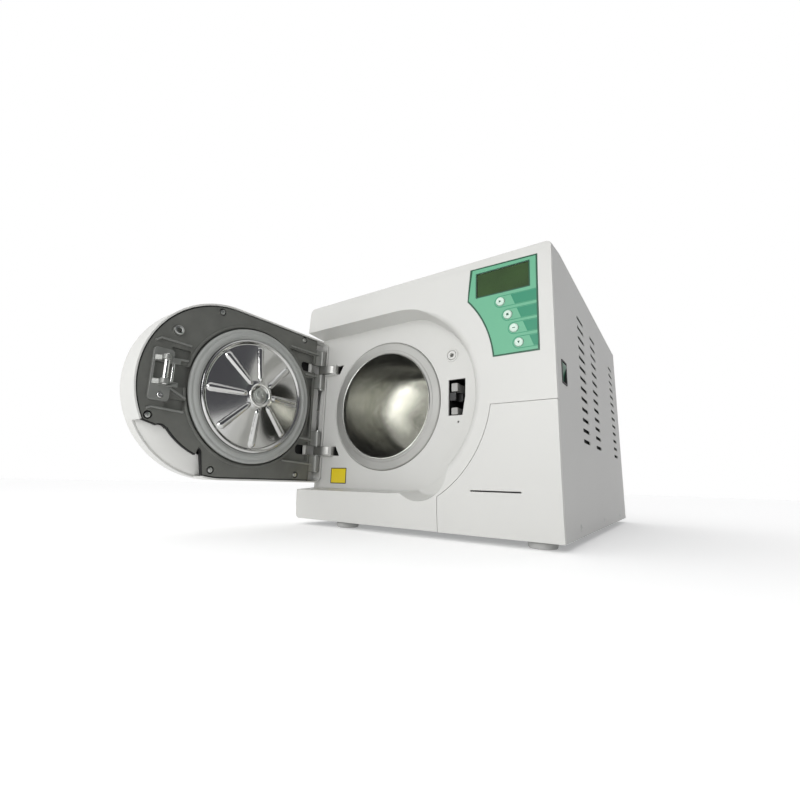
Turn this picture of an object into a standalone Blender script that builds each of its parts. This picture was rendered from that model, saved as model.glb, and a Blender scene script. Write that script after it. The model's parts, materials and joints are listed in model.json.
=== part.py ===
"""Benchtop steam steriliser: an 8-litre autoclave, modelled as its separate pieces.

Everything is placed in the case's own frame, in metres. X runs from the case's left side to
its right side, Y from the chamber's mouth to the rear, and Z up from the case's underside.
One empty carries that frame, so the finished object stands on Z = 0, centred on the origin.
The door is shown standing open, as its pivot's rotation says.
"""
import math

import bmesh
import bpy
from mathutils import Matrix, Vector

for stale in list(bpy.data.objects):
    bpy.data.objects.remove(stale, do_unlink=True)

# Case
CASE_WIDTH = 0.445
CASE_TOP = 0.3923
CASE_REAR = 0.548
SHEET = 0.0015
GAP = 0.0003
COVER_FRONT = -0.0322
TOP_FOLD = 0.012
TOP_DROP = 0.0062
COVER_CORNER = 0.005
FOOT_HEIGHT = 0.009
FOOT_RADIUS = 0.018
PAN_RISE = 0.020

# Front moulding: its face is gently convex, listed as (height, distance in front of Y = 0)
FACE = ((0.0005, 0.0382), (0.026, 0.0405), (0.090, 0.0420), (0.170, 0.0418), (0.250, 0.0412),
        (0.338, 0.0400), (0.372, 0.0382), (0.3858, 0.0358))
FRONT_BACK = -0.0325
FRONT_TOP = 0.3858
WALL = 0.003

# Chamber
CHAMBER_X = 0.1525
CHAMBER_Z = 0.1929
CHAMBER_INNER = 0.088
CHAMBER_WALL = 0.003
CHAMBER_DEPTH = 0.320
MOUTH_LIP = 0.0895
FLANGE_OUTER = 0.1093
FLANGE_FACE = -0.0015
JACKET_INNER = 0.0952
JACKET_OUTER = 0.1165

# Door recess in the front moulding
RECESS_END_X = 0.190
RECESS_RADIUS = 0.1435
SCOOP_X = 0.247
SCOOP_RADIUS = 0.0483
SCOOP_BOTTOM = 0.039

# Door, as it lies when it is shut
HINGE_X = 0.0115
HINGE_Y = -0.0110
DOOR_OPEN = math.radians(92.0)
DOOR_LEFT = 0.0020
DOOR_HALF_HEIGHT = 0.132
DOOR_END_X = 0.1945
DOOR_RIM = -0.0065
DOOR_FACE = -0.0620
DOOR_WALL = 0.003
PLATE_FRONT = -0.0080
PLATE_BACK = -0.0140
PLATE_INSET = 0.0038
PLATE_LEFT = 0.0365
GRIP_INNER = 0.1060
DISH_RADIUS = 0.0895
SEAL_INNER = 0.0902
SEAL_OUTER = 0.1062
SEAL_FACE = -0.0022
PIN_RADIUS = 0.0035
BARREL_RADIUS = 0.0062
ARM_RISE = 0.0755
ARM_HALF = 0.0075
LUG_SPANS = ((0.0840, 0.1130), (0.0400, 0.0670))

# Latch and interlock
LATCH_LEFT = 0.2750
LATCH_RIGHT = 0.3045
LATCH_Z = 0.1945
LATCH_HALF = 0.0290
LATCH_PIN_X = 0.2965
LATCH_PIN_Y = 0.0085
LATCH_PIN_SPAN = (0.1800, 0.2210)
CLEVIS_ARMS = (0.1844, 0.2164)
LOCK_X = 0.2815
LOCK_Z = 0.2610

# Controls
BUTTONS = ((0.376, 0.3115), (0.386, 0.2905), (0.394, 0.2700), (0.400, 0.2490))
BUTTON_RADIUS = 0.0058
DISPLAY_LOW = (0.3410, 0.3262)
DISPLAY_HIGH = (0.4155, 0.3620)
ROCKER_X = 0.4410
ROCKER_Y = 0.0015
ROCKER_Z = 0.2120
ROCKER_TILT = math.radians(11.0)

# Service door with the paper slot
SERVICE_RADIUS = 0.171
SERVICE_TOP = 0.1697
SERVICE_LEFT = 0.2795
PAPER_SLOT = (0.329, 0.397, 0.0567)

# Side vents
VENT_COLUMNS = (0.134, 0.242, 0.461)
VENT_ROWS = 13
VENT_TOP = 0.3304
VENT_PITCH = 0.01641
VENT_LENGTH = 0.050
VENT_HEIGHT = 0.0042

# Fill lid on top, and the fan at the rear
LID_REAR = 0.3915
FAN_X = 0.360
FAN_Y = 0.528
FAN_Z = 0.110
FAN_RADIUS = 0.038

PIPE_RADIUS = 0.004

# Where the case's frame lies under the middle of the whole object
MIDDLE_X = 0.19795
MIDDLE_Y = 0.11802

model = bpy.data.collections.new("benchtop_autoclave")
cutters = bpy.data.collections.new("cutters")
bpy.context.scene.collection.children.link(model)
bpy.context.scene.collection.children.link(cutters)

FINISHES = {
    "painted_steel": ((0.74, 0.75, 0.72), 0.45, 0.0),
    "moulded_white": ((0.78, 0.78, 0.75), 0.40, 0.0),
    "cast_aluminium": ((0.20, 0.20, 0.19), 0.45, 0.8),
    "polished_steel": ((0.75, 0.75, 0.74), 0.15, 1.0),
    "satin_steel": ((0.52, 0.52, 0.50), 0.35, 1.0),
    "galvanised": ((0.45, 0.46, 0.46), 0.50, 0.9),
    "silicone": ((0.33, 0.34, 0.33), 0.60, 0.0),
    "rubber": ((0.30, 0.31, 0.30), 0.70, 0.0),
    "mint_film": ((0.33, 0.66, 0.50), 0.35, 0.0),
    "display": ((0.10, 0.14, 0.08), 0.20, 0.0),
    "green_rocker": ((0.01, 0.18, 0.09), 0.35, 0.0),
    "black_plastic": ((0.03, 0.03, 0.03), 0.50, 0.0),
    "pale_button": ((0.62, 0.74, 0.66), 0.40, 0.0),
    "circuit_board": ((0.02, 0.16, 0.07), 0.50, 0.0),
    "clear_tank": ((0.80, 0.82, 0.80), 0.30, 0.0),
    "brass": ((0.60, 0.45, 0.18), 0.30, 1.0),
    "copper": ((0.62, 0.32, 0.20), 0.30, 1.0),
    "fibre": ((0.62, 0.60, 0.52), 0.90, 0.0),
    "paper": ((0.85, 0.85, 0.82), 0.80, 0.0),
}


def finish_of(name):
    material = bpy.data.materials.get(name)
    if material is None:
        colour, roughness, metallic = FINISHES[name]
        material = bpy.data.materials.new(name)
        material.use_nodes = True
        shader = material.node_tree.nodes["Principled BSDF"]
        shader.inputs["Base Color"].default_value = (*colour, 1.0)
        shader.inputs["Roughness"].default_value = roughness
        shader.inputs["Metallic"].default_value = metallic
    return material


def pivot(name, place, parent=None, turn=0.0):
    """An empty on a joint's axis, turned about Z."""
    empty = bpy.data.objects.new(name, None)
    model.objects.link(empty)
    empty.location = place
    empty.rotation_euler = (0.0, 0.0, turn)
    empty.parent = parent
    empty.empty_display_size = 0.02
    return empty


class Frame:
    """Links new pieces to one parent, with coordinates read from the case's frame."""

    def __init__(self, parent, base=(0.0, 0.0, 0.0)):
        self.parent = parent
        self.base = Vector(base)

    def link(self, name, mesh, finish):
        mesh.transform(Matrix.Translation(-self.base))
        piece = bpy.data.objects.new(name, mesh)
        piece.parent = self.parent
        if finish is None:
            cutters.objects.link(piece)
            piece.hide_render = True
            piece.display_type = "WIRE"
        else:
            model.objects.link(piece)
            mesh.materials.append(finish_of(finish))
        return piece


def box_mesh(low, high):
    low = Vector(low)
    high = Vector(high)
    place = Matrix.LocRotScale((low + high) / 2, None, high - low)
    body = bmesh.new()
    bmesh.ops.create_cube(body, size=1.0, matrix=place)
    mesh = bpy.data.meshes.new("box")
    body.to_mesh(mesh)
    body.free()
    return mesh


# A flat outline's own plane, turned to face along X, Y or Z
AXES = {
    "X": Matrix(((0, 0, 1), (1, 0, 0), (0, 1, 0))).to_4x4(),
    "Y": Matrix(((1, 0, 0), (0, 0, -1), (0, 1, 0))).to_4x4(),
    "Z": Matrix.Identity(4),
}

# A turned profile's own axis, laid along X, Y or Z
ALONG = {
    "X": Matrix.Rotation(math.pi / 2, 4, "Y"),
    "Y": Matrix.Rotation(-math.pi / 2, 4, "X"),
    "Z": Matrix.Identity(4),
}


def slab_mesh(outlines, axis, start, end):
    """Closed outlines, the first the outside and the others holes, extruded along an axis.

    Outlines are (x, z) pairs along Y, (y, z) pairs along X and (x, y) pairs along Z.
    """
    curve = bpy.data.curves.new("outline", "CURVE")
    curve.dimensions = "2D"
    curve.fill_mode = "BOTH"
    curve.extrude = abs(end - start) / 2
    for outline in outlines:
        spline = curve.splines.new("POLY")
        spline.points.add(len(outline) - 1)
        for point, (across, up) in zip(spline.points, outline):
            point.co = (across, up, 0.0, 1.0)
        spline.use_cyclic_u = True
    guide = bpy.data.objects.new("outline", curve)
    cutters.objects.link(guide)
    bpy.context.view_layer.update()
    evaluated = guide.evaluated_get(bpy.context.evaluated_depsgraph_get())
    mesh = bpy.data.meshes.new_from_object(evaluated)
    bpy.data.objects.remove(guide, do_unlink=True)
    body = bmesh.new()
    body.from_mesh(mesh)
    bmesh.ops.remove_doubles(body, verts=body.verts, dist=1e-6)
    body.to_mesh(mesh)
    body.free()
    middle = (start + end) / 2
    shift = {"X": (middle, 0, 0), "Y": (0, middle, 0), "Z": (0, 0, middle)}[axis]
    mesh.transform(Matrix.Translation(shift) @ AXES[axis])
    mesh.materials.clear()
    return mesh


def rod_mesh(centre, radius, start, end, axis="Z", sides=24):
    """A round bar along an axis; the centre gives the other two coordinates in order."""
    body = bmesh.new()
    bmesh.ops.create_cone(body, cap_ends=True, segments=sides, radius1=radius,
                          radius2=radius, depth=end - start)
    mesh = bpy.data.meshes.new("rod")
    body.to_mesh(mesh)
    body.free()
    middle = (start + end) / 2
    place = {"X": (middle, *centre), "Y": (centre[0], middle, centre[1]), "Z": (*centre, middle)}
    mesh.transform(Matrix.Translation(place[axis]) @ AXES[axis])
    mesh.shade_smooth()
    mesh.set_sharp_from_angle(angle=math.radians(35))
    return mesh


def box(frame, name, low, high, finish=None, edge=0.0):
    piece = frame.link(name, box_mesh(low, high), finish)
    if edge > 0:
        soften(piece, edge)
    return piece


def slab(frame, name, outlines, axis, start, end, finish=None):
    return frame.link(name, slab_mesh(outlines, axis, start, end), finish)


def rod(frame, name, centre, radius, start, end, axis="Z", finish=None, sides=24):
    return frame.link(name, rod_mesh(centre, radius, start, end, axis, sides), finish)


def turned(frame, name, profile, centre, finish=None, steps=48, closed=True, axis="Y"):
    """A turned shape from (radius, distance along the axis) pairs.

    The profile runs down its outer side and back up its inner side.
    """
    mesh = bpy.data.meshes.new("profile")
    count = len(profile)
    edges = [(index, index + 1) for index in range(count - 1)]
    if closed:
        edges.append((count - 1, 0))
    mesh.from_pydata([(radius, 0.0, along) for radius, along in profile], edges, [])
    piece = frame.link(name, mesh, finish)
    mesh.transform(Matrix.Translation(frame.base))
    screw = piece.modifiers.new("turn", "SCREW")
    screw.steps = steps
    screw.render_steps = steps
    screw.use_merge_vertices = True
    screw.merge_threshold = 1e-5
    screw.use_smooth_shade = True
    spot = {"Y": (centre[0], 0.0, centre[1]), "X": (0.0, *centre), "Z": (*centre, 0.0)}[axis]
    piece.matrix_local = Matrix.Translation(Vector(spot) - frame.base) @ ALONG[axis]
    return piece


def soften(piece, width, segments=2):
    bevel = piece.modifiers.new("edges", "BEVEL")
    bevel.width = width
    bevel.segments = segments
    bevel.limit_method = "ANGLE"
    bevel.angle_limit = math.radians(40)


def combine(piece, other, operation):
    """A Boolean with a shape that is then kept only as a guide."""
    step = piece.modifiers.new(operation.lower(), "BOOLEAN")
    step.operation = operation
    step.solver = "EXACT"
    step.object = other
    return piece


def cut(piece, other):
    return combine(piece, other, "DIFFERENCE")


def join(piece, other):
    return combine(piece, other, "UNION")


def keep(piece, other):
    return combine(piece, other, "INTERSECT")


def arc(centre, radius, start, end, steps):
    """Points on an arc, its angles in degrees."""
    points = []
    for step in range(steps + 1):
        angle = math.radians(start + (end - start) * step / steps)
        points.append((centre[0] + radius * math.cos(angle), centre[1] + radius * math.sin(angle)))
    return points


def circle(centre, radius, steps=32):
    return arc(centre, radius, 0, 360, steps)[:-1]


def rounded(left, bottom, right, top, radius, steps=4):
    """A rectangle whose corners are arcs."""
    return (arc((right - radius, bottom + radius), radius, -90, 0, steps)
            + arc((right - radius, top - radius), radius, 0, 90, steps)
            + arc((left + radius, top - radius), radius, 90, 180, steps)
            + arc((left + radius, bottom + radius), radius, 180, 270, steps))


case_frame = pivot("case_frame", (-MIDDLE_X, -MIDDLE_Y, FOOT_HEIGHT))
CASE = Frame(case_frame)
HINGE = (HINGE_X, HINGE_Y, CHAMBER_Z)
DOOR = Frame(pivot("door_pivot", HINGE, case_frame, -DOOR_OPEN), HINGE)
SERVICE_HINGE = (CASE_WIDTH, FRONT_BACK, SERVICE_TOP / 2)
SERVICE = Frame(pivot("service_pivot", SERVICE_HINGE, case_frame), SERVICE_HINGE)
LID_TOP = CASE_TOP + 0.003
LID_HINGE = (0.355, LID_REAR, LID_TOP)
LID = Frame(pivot("lid_pivot", LID_HINGE, case_frame), LID_HINGE)
FAN_HUB = (FAN_X, FAN_Y, FAN_Z)
FAN = Frame(pivot("fan_pivot", FAN_HUB, case_frame), FAN_HUB)
ROLL_AXIS = (0.363, 0.012, 0.0640)
ROLL = Frame(pivot("roll_pivot", ROLL_AXIS, case_frame), ROLL_AXIS)
ROCKER_AXIS = (ROCKER_X, ROCKER_Y, ROCKER_Z)
ROCKER = Frame(pivot("rocker_pivot", ROCKER_AXIS, case_frame), ROCKER_AXIS)


def face_slab(frame, name, proud=0.0, back=FRONT_BACK):
    """The whole width of the front moulding, with its convex face, as a guide."""
    outline = [(back, FACE[0][0] - 0.01), (-FACE[0][1] - proud, FACE[0][0] - 0.01)]
    outline += [(-depth - proud, height) for height, depth in FACE]
    outline += [(-FACE[-1][1] - proud + 0.002, FRONT_TOP + 0.01), (back, FRONT_TOP + 0.01)]
    return slab(frame, name, [outline], "X", -0.02, CASE_WIDTH + 0.02)


def recess_outline(radius, left, centre_x=RECESS_END_X, steps=20):
    """A slot's outline, square at the left and round at the right."""
    return ([(left, CHAMBER_Z + radius), (left, CHAMBER_Z - radius)]
            + arc((centre_x, CHAMBER_Z), radius, -90, 90, steps))


def service_outline(grow=0.0):
    """The service door's edge: two straight sides, the case's corner and an arc."""
    radius = SERVICE_RADIUS - grow
    top = SERVICE_TOP + grow
    left = SERVICE_LEFT - grow
    start = math.degrees(math.asin((top - CHAMBER_Z) / radius))
    end = math.degrees(math.acos((left - RECESS_END_X) / radius))
    curve = arc((RECESS_END_X, CHAMBER_Z), radius, start, -end, 12)
    return [(left, -grow), (CASE_WIDTH + grow, -grow), (CASE_WIDTH + grow, top)] + curve


def overlay_outline():
    """The control film: straight top and right sides, with a concave lower left side."""
    curve = arc((0.212, 0.222), 0.1523, 41.2, 4.6, 8)
    return [(0.4265, 0.2340), (0.4275, 0.3700), (0.3305, 0.3725)] + curve


# Casing

def build_casing():
    pan = box(CASE, "base_pan", (SHEET + GAP, COVER_FRONT + 0.003, 0.0),
              (CASE_WIDTH - SHEET - GAP, CASE_REAR - SHEET - GAP, PAN_RISE), "galvanised")
    inside = box(CASE, "pan_inside", (0.0036, -0.0275, SHEET),
                 (CASE_WIDTH - 0.0036, CASE_REAR - 0.0050, 0.05))
    cut(pan, inside)

    right_bend = (CASE_WIDTH - COVER_CORNER, CASE_TOP - COVER_CORNER)
    left_bend = (COVER_CORNER, CASE_TOP - COVER_CORNER)
    bend = COVER_CORNER - SHEET
    outer = arc(right_bend, COVER_CORNER, 0, 90, 4) + arc(left_bend, COVER_CORNER, 90, 180, 4)
    inner = arc(left_bend, bend, 180, 90, 4) + arc(right_bend, bend, 90, 0, 4)
    outline = ([(CASE_WIDTH, 0.0)] + outer + [(0.0, 0.0), (SHEET, 0.0)] + inner
               + [(CASE_WIDTH - SHEET, 0.0)])
    mesh = slab_mesh([outline], "Y", COVER_FRONT, CASE_REAR)
    body = bmesh.new()
    body.from_mesh(mesh)
    bmesh.ops.bisect_plane(body, geom=body.verts[:] + body.edges[:] + body.faces[:],
                           plane_co=(0.0, TOP_FOLD, 0.0), plane_no=(0.0, 1.0, 0.0))
    for vertex in body.verts:
        if vertex.co.y < TOP_FOLD - GAP and vertex.co.z > CASE_TOP / 2:
            vertex.co.z -= TOP_DROP
    body.to_mesh(mesh)
    body.free()
    cover = CASE.link("outer_cover", mesh, "painted_steel")
    cut(cover, box(CASE, "lid_window", (0.302, 0.300, CASE_TOP - 0.01),
                   (0.408, 0.392, CASE_TOP + 0.01)))
    slots = bmesh.new()
    for column in VENT_COLUMNS:
        for row in range(VENT_ROWS):
            height = VENT_TOP - VENT_PITCH * row
            half = VENT_LENGTH / 2
            end = VENT_HEIGHT / 2
            shape = [(column - half, height), (column - half + end, height - end),
                     (column + half - end, height - end), (column + half, height),
                     (column + half - end, height + end), (column - half + end, height + end)]
            slot = slab_mesh([shape], "X", -0.01, CASE_WIDTH + 0.01)
            slots.from_mesh(slot)
            bpy.data.meshes.remove(slot)
    vents = bpy.data.meshes.new("vents")
    slots.to_mesh(vents)
    slots.free()
    cut(cover, CASE.link("vent_cutter", vents, None))
    cut(cover, box(CASE, "recess_side", (-0.01, -0.05, CHAMBER_Z - RECESS_RADIUS - WALL - GAP),
                   (0.01, WALL + GAP, CHAMBER_Z + RECESS_RADIUS + WALL + GAP)))
    cut(cover, box(CASE, "rocker_window", (CASE_WIDTH - 0.01, ROCKER_Y - 0.0135, ROCKER_Z - 0.0160),
                   (CASE_WIDTH + 0.01, ROCKER_Y + 0.0135, ROCKER_Z + 0.0160)))

    panel = box(CASE, "rear_panel", (SHEET + GAP, CASE_REAR - SHEET, PAN_RISE + GAP),
                (CASE_WIDTH - SHEET - GAP, CASE_REAR, CASE_TOP - SHEET - GAP), "painted_steel")
    corner_cut = COVER_CORNER - SHEET
    for index, left in enumerate((0.0, CASE_WIDTH - SHEET - corner_cut)):
        cut(panel, box(CASE, f"panel_corner_{index}", (left, 0.5, CASE_TOP - SHEET - corner_cut),
                       (left + SHEET + corner_cut, 0.6, CASE_TOP)))
    for index in range(5):
        bar = 0.068 + 0.018 * index
        cut(panel, box(CASE, f"fan_slot_{index}", (0.315, 0.5, bar), (0.405, 0.6, bar + 0.011)))
    cut(panel, box(CASE, "inlet_window", (0.2280, 0.5, 0.0380), (0.2580, 0.6, 0.0640)))
    for name, centre, radius in (("drain_hole_a", (0.050, 0.050), 0.0073),
                                 ("drain_hole_b", (0.095, 0.050), 0.0073),
                                 ("valve_hole", (0.090, 0.300), 0.0093)):
        cut(panel, rod(CASE, name, centre, radius, 0.5, 0.6, "Y"))

    for side, x in (("left", 0.098), ("right", 0.413)):
        for end, y in (("front", -0.014), ("rear", 0.330)):
            rod(CASE, f"foot_{end}_{side}", (x, y), FOOT_RADIUS, -FOOT_HEIGHT, -GAP, "Z",
                "rubber", 28)


def build_front():
    bezel = slab(CASE, "front_bezel", [rounded(0.0, 0.0005, CASE_WIDTH, FRONT_TOP, 0.007)], "Y",
                 -0.060, FRONT_BACK, "moulded_white")
    keep(bezel, face_slab(CASE, "bezel_face"))
    join(bezel, slab(CASE, "recess_tub", [recess_outline(RECESS_RADIUS + WALL, 0.0)], "Y",
                     -0.036, WALL))
    scoop = (SCOOP_X, SCOOP_BOTTOM + SCOOP_RADIUS)
    join(bezel, rod(CASE, "scoop_wall", scoop, SCOOP_RADIUS + WALL, -0.036, -0.004, "Y", None, 40))
    cut(bezel, slab(CASE, "recess_space", [recess_outline(RECESS_RADIUS, -0.02)], "Y", -0.08, 0.0))
    cut(bezel, rod(CASE, "scoop_space", scoop, SCOOP_RADIUS, -0.08, -0.007, "Y", None, 40))
    cut(bezel, slab(CASE, "service_space", [service_outline(0.0005)], "Y", -0.08, -0.02))
    cut(bezel, rod(CASE, "mouth_hole", (CHAMBER_X, CHAMBER_Z), FLANGE_OUTER + 2 * GAP, -0.02,
                   0.02, "Y", None, 48))
    for sign in (-1, 1):
        middle = CHAMBER_Z + sign * ARM_RISE
        cut(bezel, box(CASE, f"arm_slot_{sign}", (0.0340, -0.02, middle - 0.0085),
                       (0.0580, 0.02, middle + 0.0085)))
    cut(bezel, box(CASE, "latch_window", (LATCH_LEFT, -0.02, LATCH_Z - LATCH_HALF),
                   (LATCH_RIGHT, 0.02, LATCH_Z + LATCH_HALF)))
    cut(bezel, rod(CASE, "lock_hole", (LOCK_X, LOCK_Z), 0.0075, -0.02, 0.02, "Y", None, 20))
    cut(bezel, slab(CASE, "overlay_pocket", [overlay_outline()], "Y", -0.08, -0.0358))
    cut(bezel, box(CASE, "display_window", (DISPLAY_LOW[0] - 0.001, -0.08, DISPLAY_LOW[1] - 0.001),
                   (DISPLAY_HIGH[0] + 0.001, -0.02, DISPLAY_HIGH[1] + 0.001)))

    overlay = slab(CASE, "control_overlay", [overlay_outline()], "Y", -0.060, -0.0361, "mint_film")
    for vertex in overlay.data.vertices:
        vertex.co.x += math.copysign(GAP, 0.38 - vertex.co.x)
        vertex.co.z += math.copysign(GAP, 0.30 - vertex.co.z)
    keep(overlay, face_slab(CASE, "overlay_face", 0.0004))
    cut(overlay, box(CASE, "overlay_window", (DISPLAY_LOW[0], -0.08, DISPLAY_LOW[1]),
                     (DISPLAY_HIGH[0], -0.02, DISPLAY_HIGH[1])))
    for index, centre in enumerate(BUTTONS):
        for piece in (bezel, overlay):
            cut(piece, rod(CASE, f"button_hole_{index}", centre, BUTTON_RADIUS + 0.0005, -0.08,
                           -0.02, "Y", None, 20))

    service = slab(SERVICE, "service_door", [service_outline()], "Y", -0.060, FRONT_BACK,
                   "moulded_white")
    keep(service, face_slab(SERVICE, "service_face"))
    left, right, height = PAPER_SLOT
    cut(service, box(SERVICE, "paper_slot", (left, -0.08, height - 0.0009),
                     (right, 0.0, height + 0.0009)))


def build_chamber():
    centre = (CHAMBER_X, CHAMBER_Z)
    outer = CHAMBER_INNER + CHAMBER_WALL
    turned(CASE, "chamber_vessel", [
        (0.0, CHAMBER_DEPTH + CHAMBER_WALL), (outer, CHAMBER_DEPTH + CHAMBER_WALL),
        (outer, FLANGE_FACE), (MOUTH_LIP, FLANGE_FACE), (CHAMBER_INNER, 0.006),
        (CHAMBER_INNER, CHAMBER_DEPTH - 0.010), (CHAMBER_INNER - 0.010, CHAMBER_DEPTH),
        (0.0, CHAMBER_DEPTH)], centre, "polished_steel", 48, False)
    turned(CASE, "chamber_flange", [
        (FLANGE_OUTER, 0.0120), (FLANGE_OUTER, FLANGE_FACE + 0.001),
        (FLANGE_OUTER - 0.001, FLANGE_FACE), (outer + GAP, FLANGE_FACE), (outer + GAP, 0.0120)],
        centre, "satin_steel", 48)
    turned(CASE, "heater_band", [
        (outer + 0.0033, 0.290), (outer + 0.0033, 0.040), (outer + GAP, 0.040),
        (outer + GAP, 0.290)], centre, "copper", 48)
    turned(CASE, "insulation_jacket", [
        (JACKET_OUTER, 0.300), (JACKET_OUTER, 0.030), (JACKET_INNER, 0.030), (JACKET_INNER, 0.300)],
        centre, "fibre", 32)
    for name, start in (("front_cradle", 0.045), ("rear_cradle", 0.270)):
        saddle = arc(centre, JACKET_OUTER + 0.0006, 180, 360, 20)
        slab(CASE, name, [[(0.0300, SHEET + GAP), (0.2710, SHEET + GAP), (0.2710, CHAMBER_Z)]
                          + saddle[::-1] + [(0.0300, CHAMBER_Z)]],
             "Y", start, start + 0.003, "galvanised")
    for word, sign in (("upper", 1), ("lower", -1)):
        build_arm(f"hinge_arm_{word}", CHAMBER_Z + sign * ARM_RISE)


def build_arm(name, middle):
    """A steel arm from inside the case, through the recess, to the eye on the hinge pin."""
    low = middle - ARM_HALF
    high = middle + ARM_HALF
    outline = ([(0.0545, 0.0260), (0.0400, 0.0260), (0.0400, 0.0050), (0.0346, -0.0006)]
               + arc((HINGE_X, HINGE_Y), BARREL_RADIUS, 80, 290, 12)
               + [(0.0330, -0.0135), (0.0480, -0.0075), (0.0545, 0.0010)])
    slab(CASE, name, [outline[::-1], circle((HINGE_X, HINGE_Y), PIN_RADIUS + GAP, 16)], "Z",
         low, high, "satin_steel")


def build_latch():
    frame = box(CASE, "latch_frame", (0.2722, WALL + GAP, LATCH_Z - 0.0340),
                (0.3085, 0.0560, LATCH_Z + 0.0340), "galvanised")
    cut(frame, box(CASE, "latch_space", (0.2740, 0.0, LATCH_Z - 0.0300),
                   (0.3065, 0.0540, LATCH_Z + 0.0300)))
    jaw = box(CASE, "latch_jaw", (0.2755, -0.0015, 0.1895), (0.2930, 0.0250, 0.2115),
              "satin_steel")
    cut(jaw, box(CASE, "jaw_mouth", (0.2795, 0.0038, 0.18), (0.30, 0.0148, 0.22)))
    cut(jaw, box(CASE, "jaw_tip", (0.2885, -0.01, 0.18), (0.30, 0.0100, 0.22)))
    centre = (LOCK_X, LOCK_Z)
    turned(CASE, "lock_sleeve", [
        (0.0110, 0.0560), (0.0110, 0.0304), (0.0071, 0.0304), (0.0071, FLANGE_FACE),
        (0.0032, FLANGE_FACE), (0.0032, 0.0560)], centre, "satin_steel", 20)
    rod(CASE, "lock_pin", centre, 0.0028, 0.0, 0.0500, "Y", "satin_steel", 16)


def build_controls():
    for index, centre in enumerate(BUTTONS):
        rod(CASE, f"button_{index + 1}", centre, BUTTON_RADIUS, -0.0432, -0.0300, "Y",
            "pale_button", 20)
    box(CASE, "display_module", (DISPLAY_LOW[0] + GAP, -0.0388, DISPLAY_LOW[1] + GAP),
        (DISPLAY_HIGH[0] - GAP, -0.0272, DISPLAY_HIGH[1] - GAP), "display")
    box(CASE, "control_board", (0.3345, -0.0268, 0.2360), (0.4320, -0.0252, 0.3740),
        "circuit_board")
    side = CASE_WIDTH
    housing = box(CASE, "rocker_housing", (side - 0.0240, ROCKER_Y - 0.0132, ROCKER_Z - 0.0157),
                  (side + 0.0008, ROCKER_Y + 0.0132, ROCKER_Z + 0.0157), "black_plastic")
    cut(housing, box(CASE, "rocker_space", (side - 0.0180, ROCKER_Y - 0.0112, ROCKER_Z - 0.0140),
                     (side + 0.01, ROCKER_Y + 0.0112, ROCKER_Z + 0.0140)))
    half = 0.0128
    lever = slab_mesh([[(-0.0105, -0.0030), (0.0022, -half), (0.0048, 0.0), (0.0022, half),
                        (-0.0105, 0.0030)]], "Y", -0.0108, 0.0108)
    lever.transform(Matrix.Translation(ROCKER_AXIS) @ Matrix.Rotation(ROCKER_TILT, 4, "Y"))
    ROCKER.link("power_rocker", lever, "green_rocker")


def door_outline(inset, corner):
    """The door's edge: a straight hinge side with two corners, and a half-round free end."""
    radius = DOOR_HALF_HEIGHT - inset
    left = DOOR_LEFT + inset
    return (arc((DOOR_END_X, CHAMBER_Z), radius, -90, 90, 24)
            + arc((left + corner, CHAMBER_Z + radius - corner), corner, 90, 180, 4)
            + arc((left + corner, CHAMBER_Z - radius + corner), corner, 180, 270, 4))


def domed_slab(frame, name, outline, face, rim, rounding, finish=None):
    """A slab along Y whose edge at the face is rounded over."""
    mesh = slab_mesh([outline], "Y", face, rim)
    body = bmesh.new()
    body.from_mesh(mesh)
    bmesh.ops.dissolve_limit(body, angle_limit=math.radians(0.5), verts=body.verts,
                             edges=body.edges)
    edges = [edge for edge in body.edges if all(abs(v.co.y - face) < 1e-6 for v in edge.verts)]
    bmesh.ops.bevel(body, geom=edges, offset=rounding, segments=3, profile=0.5, affect="EDGES")
    body.to_mesh(mesh)
    body.free()
    return frame.link(name, mesh, finish)


def plate_outline():
    """The inner plate's edge, with the hand-hold cut out of its free end."""
    radius = DOOR_HALF_HEIGHT - PLATE_INSET
    end = (DOOR_END_X, CHAMBER_Z)
    bottom = arc(end, radius, -90, -77, 3)
    corner_low = arc((0.2360, 0.0975), 0.0080, 180, 111, 4)
    grip = arc(end, GRIP_INNER, -67, -37, 8)
    corner_high = arc((0.2870, 0.1210), 0.0100, 145, 62, 4)
    rest = arc(end, radius, -27, 90, 18)
    left = PLATE_LEFT
    return (bottom + corner_low + grip + corner_high + rest
            + [(left, CHAMBER_Z + radius), (left, CHAMBER_Z - radius)])


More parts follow.
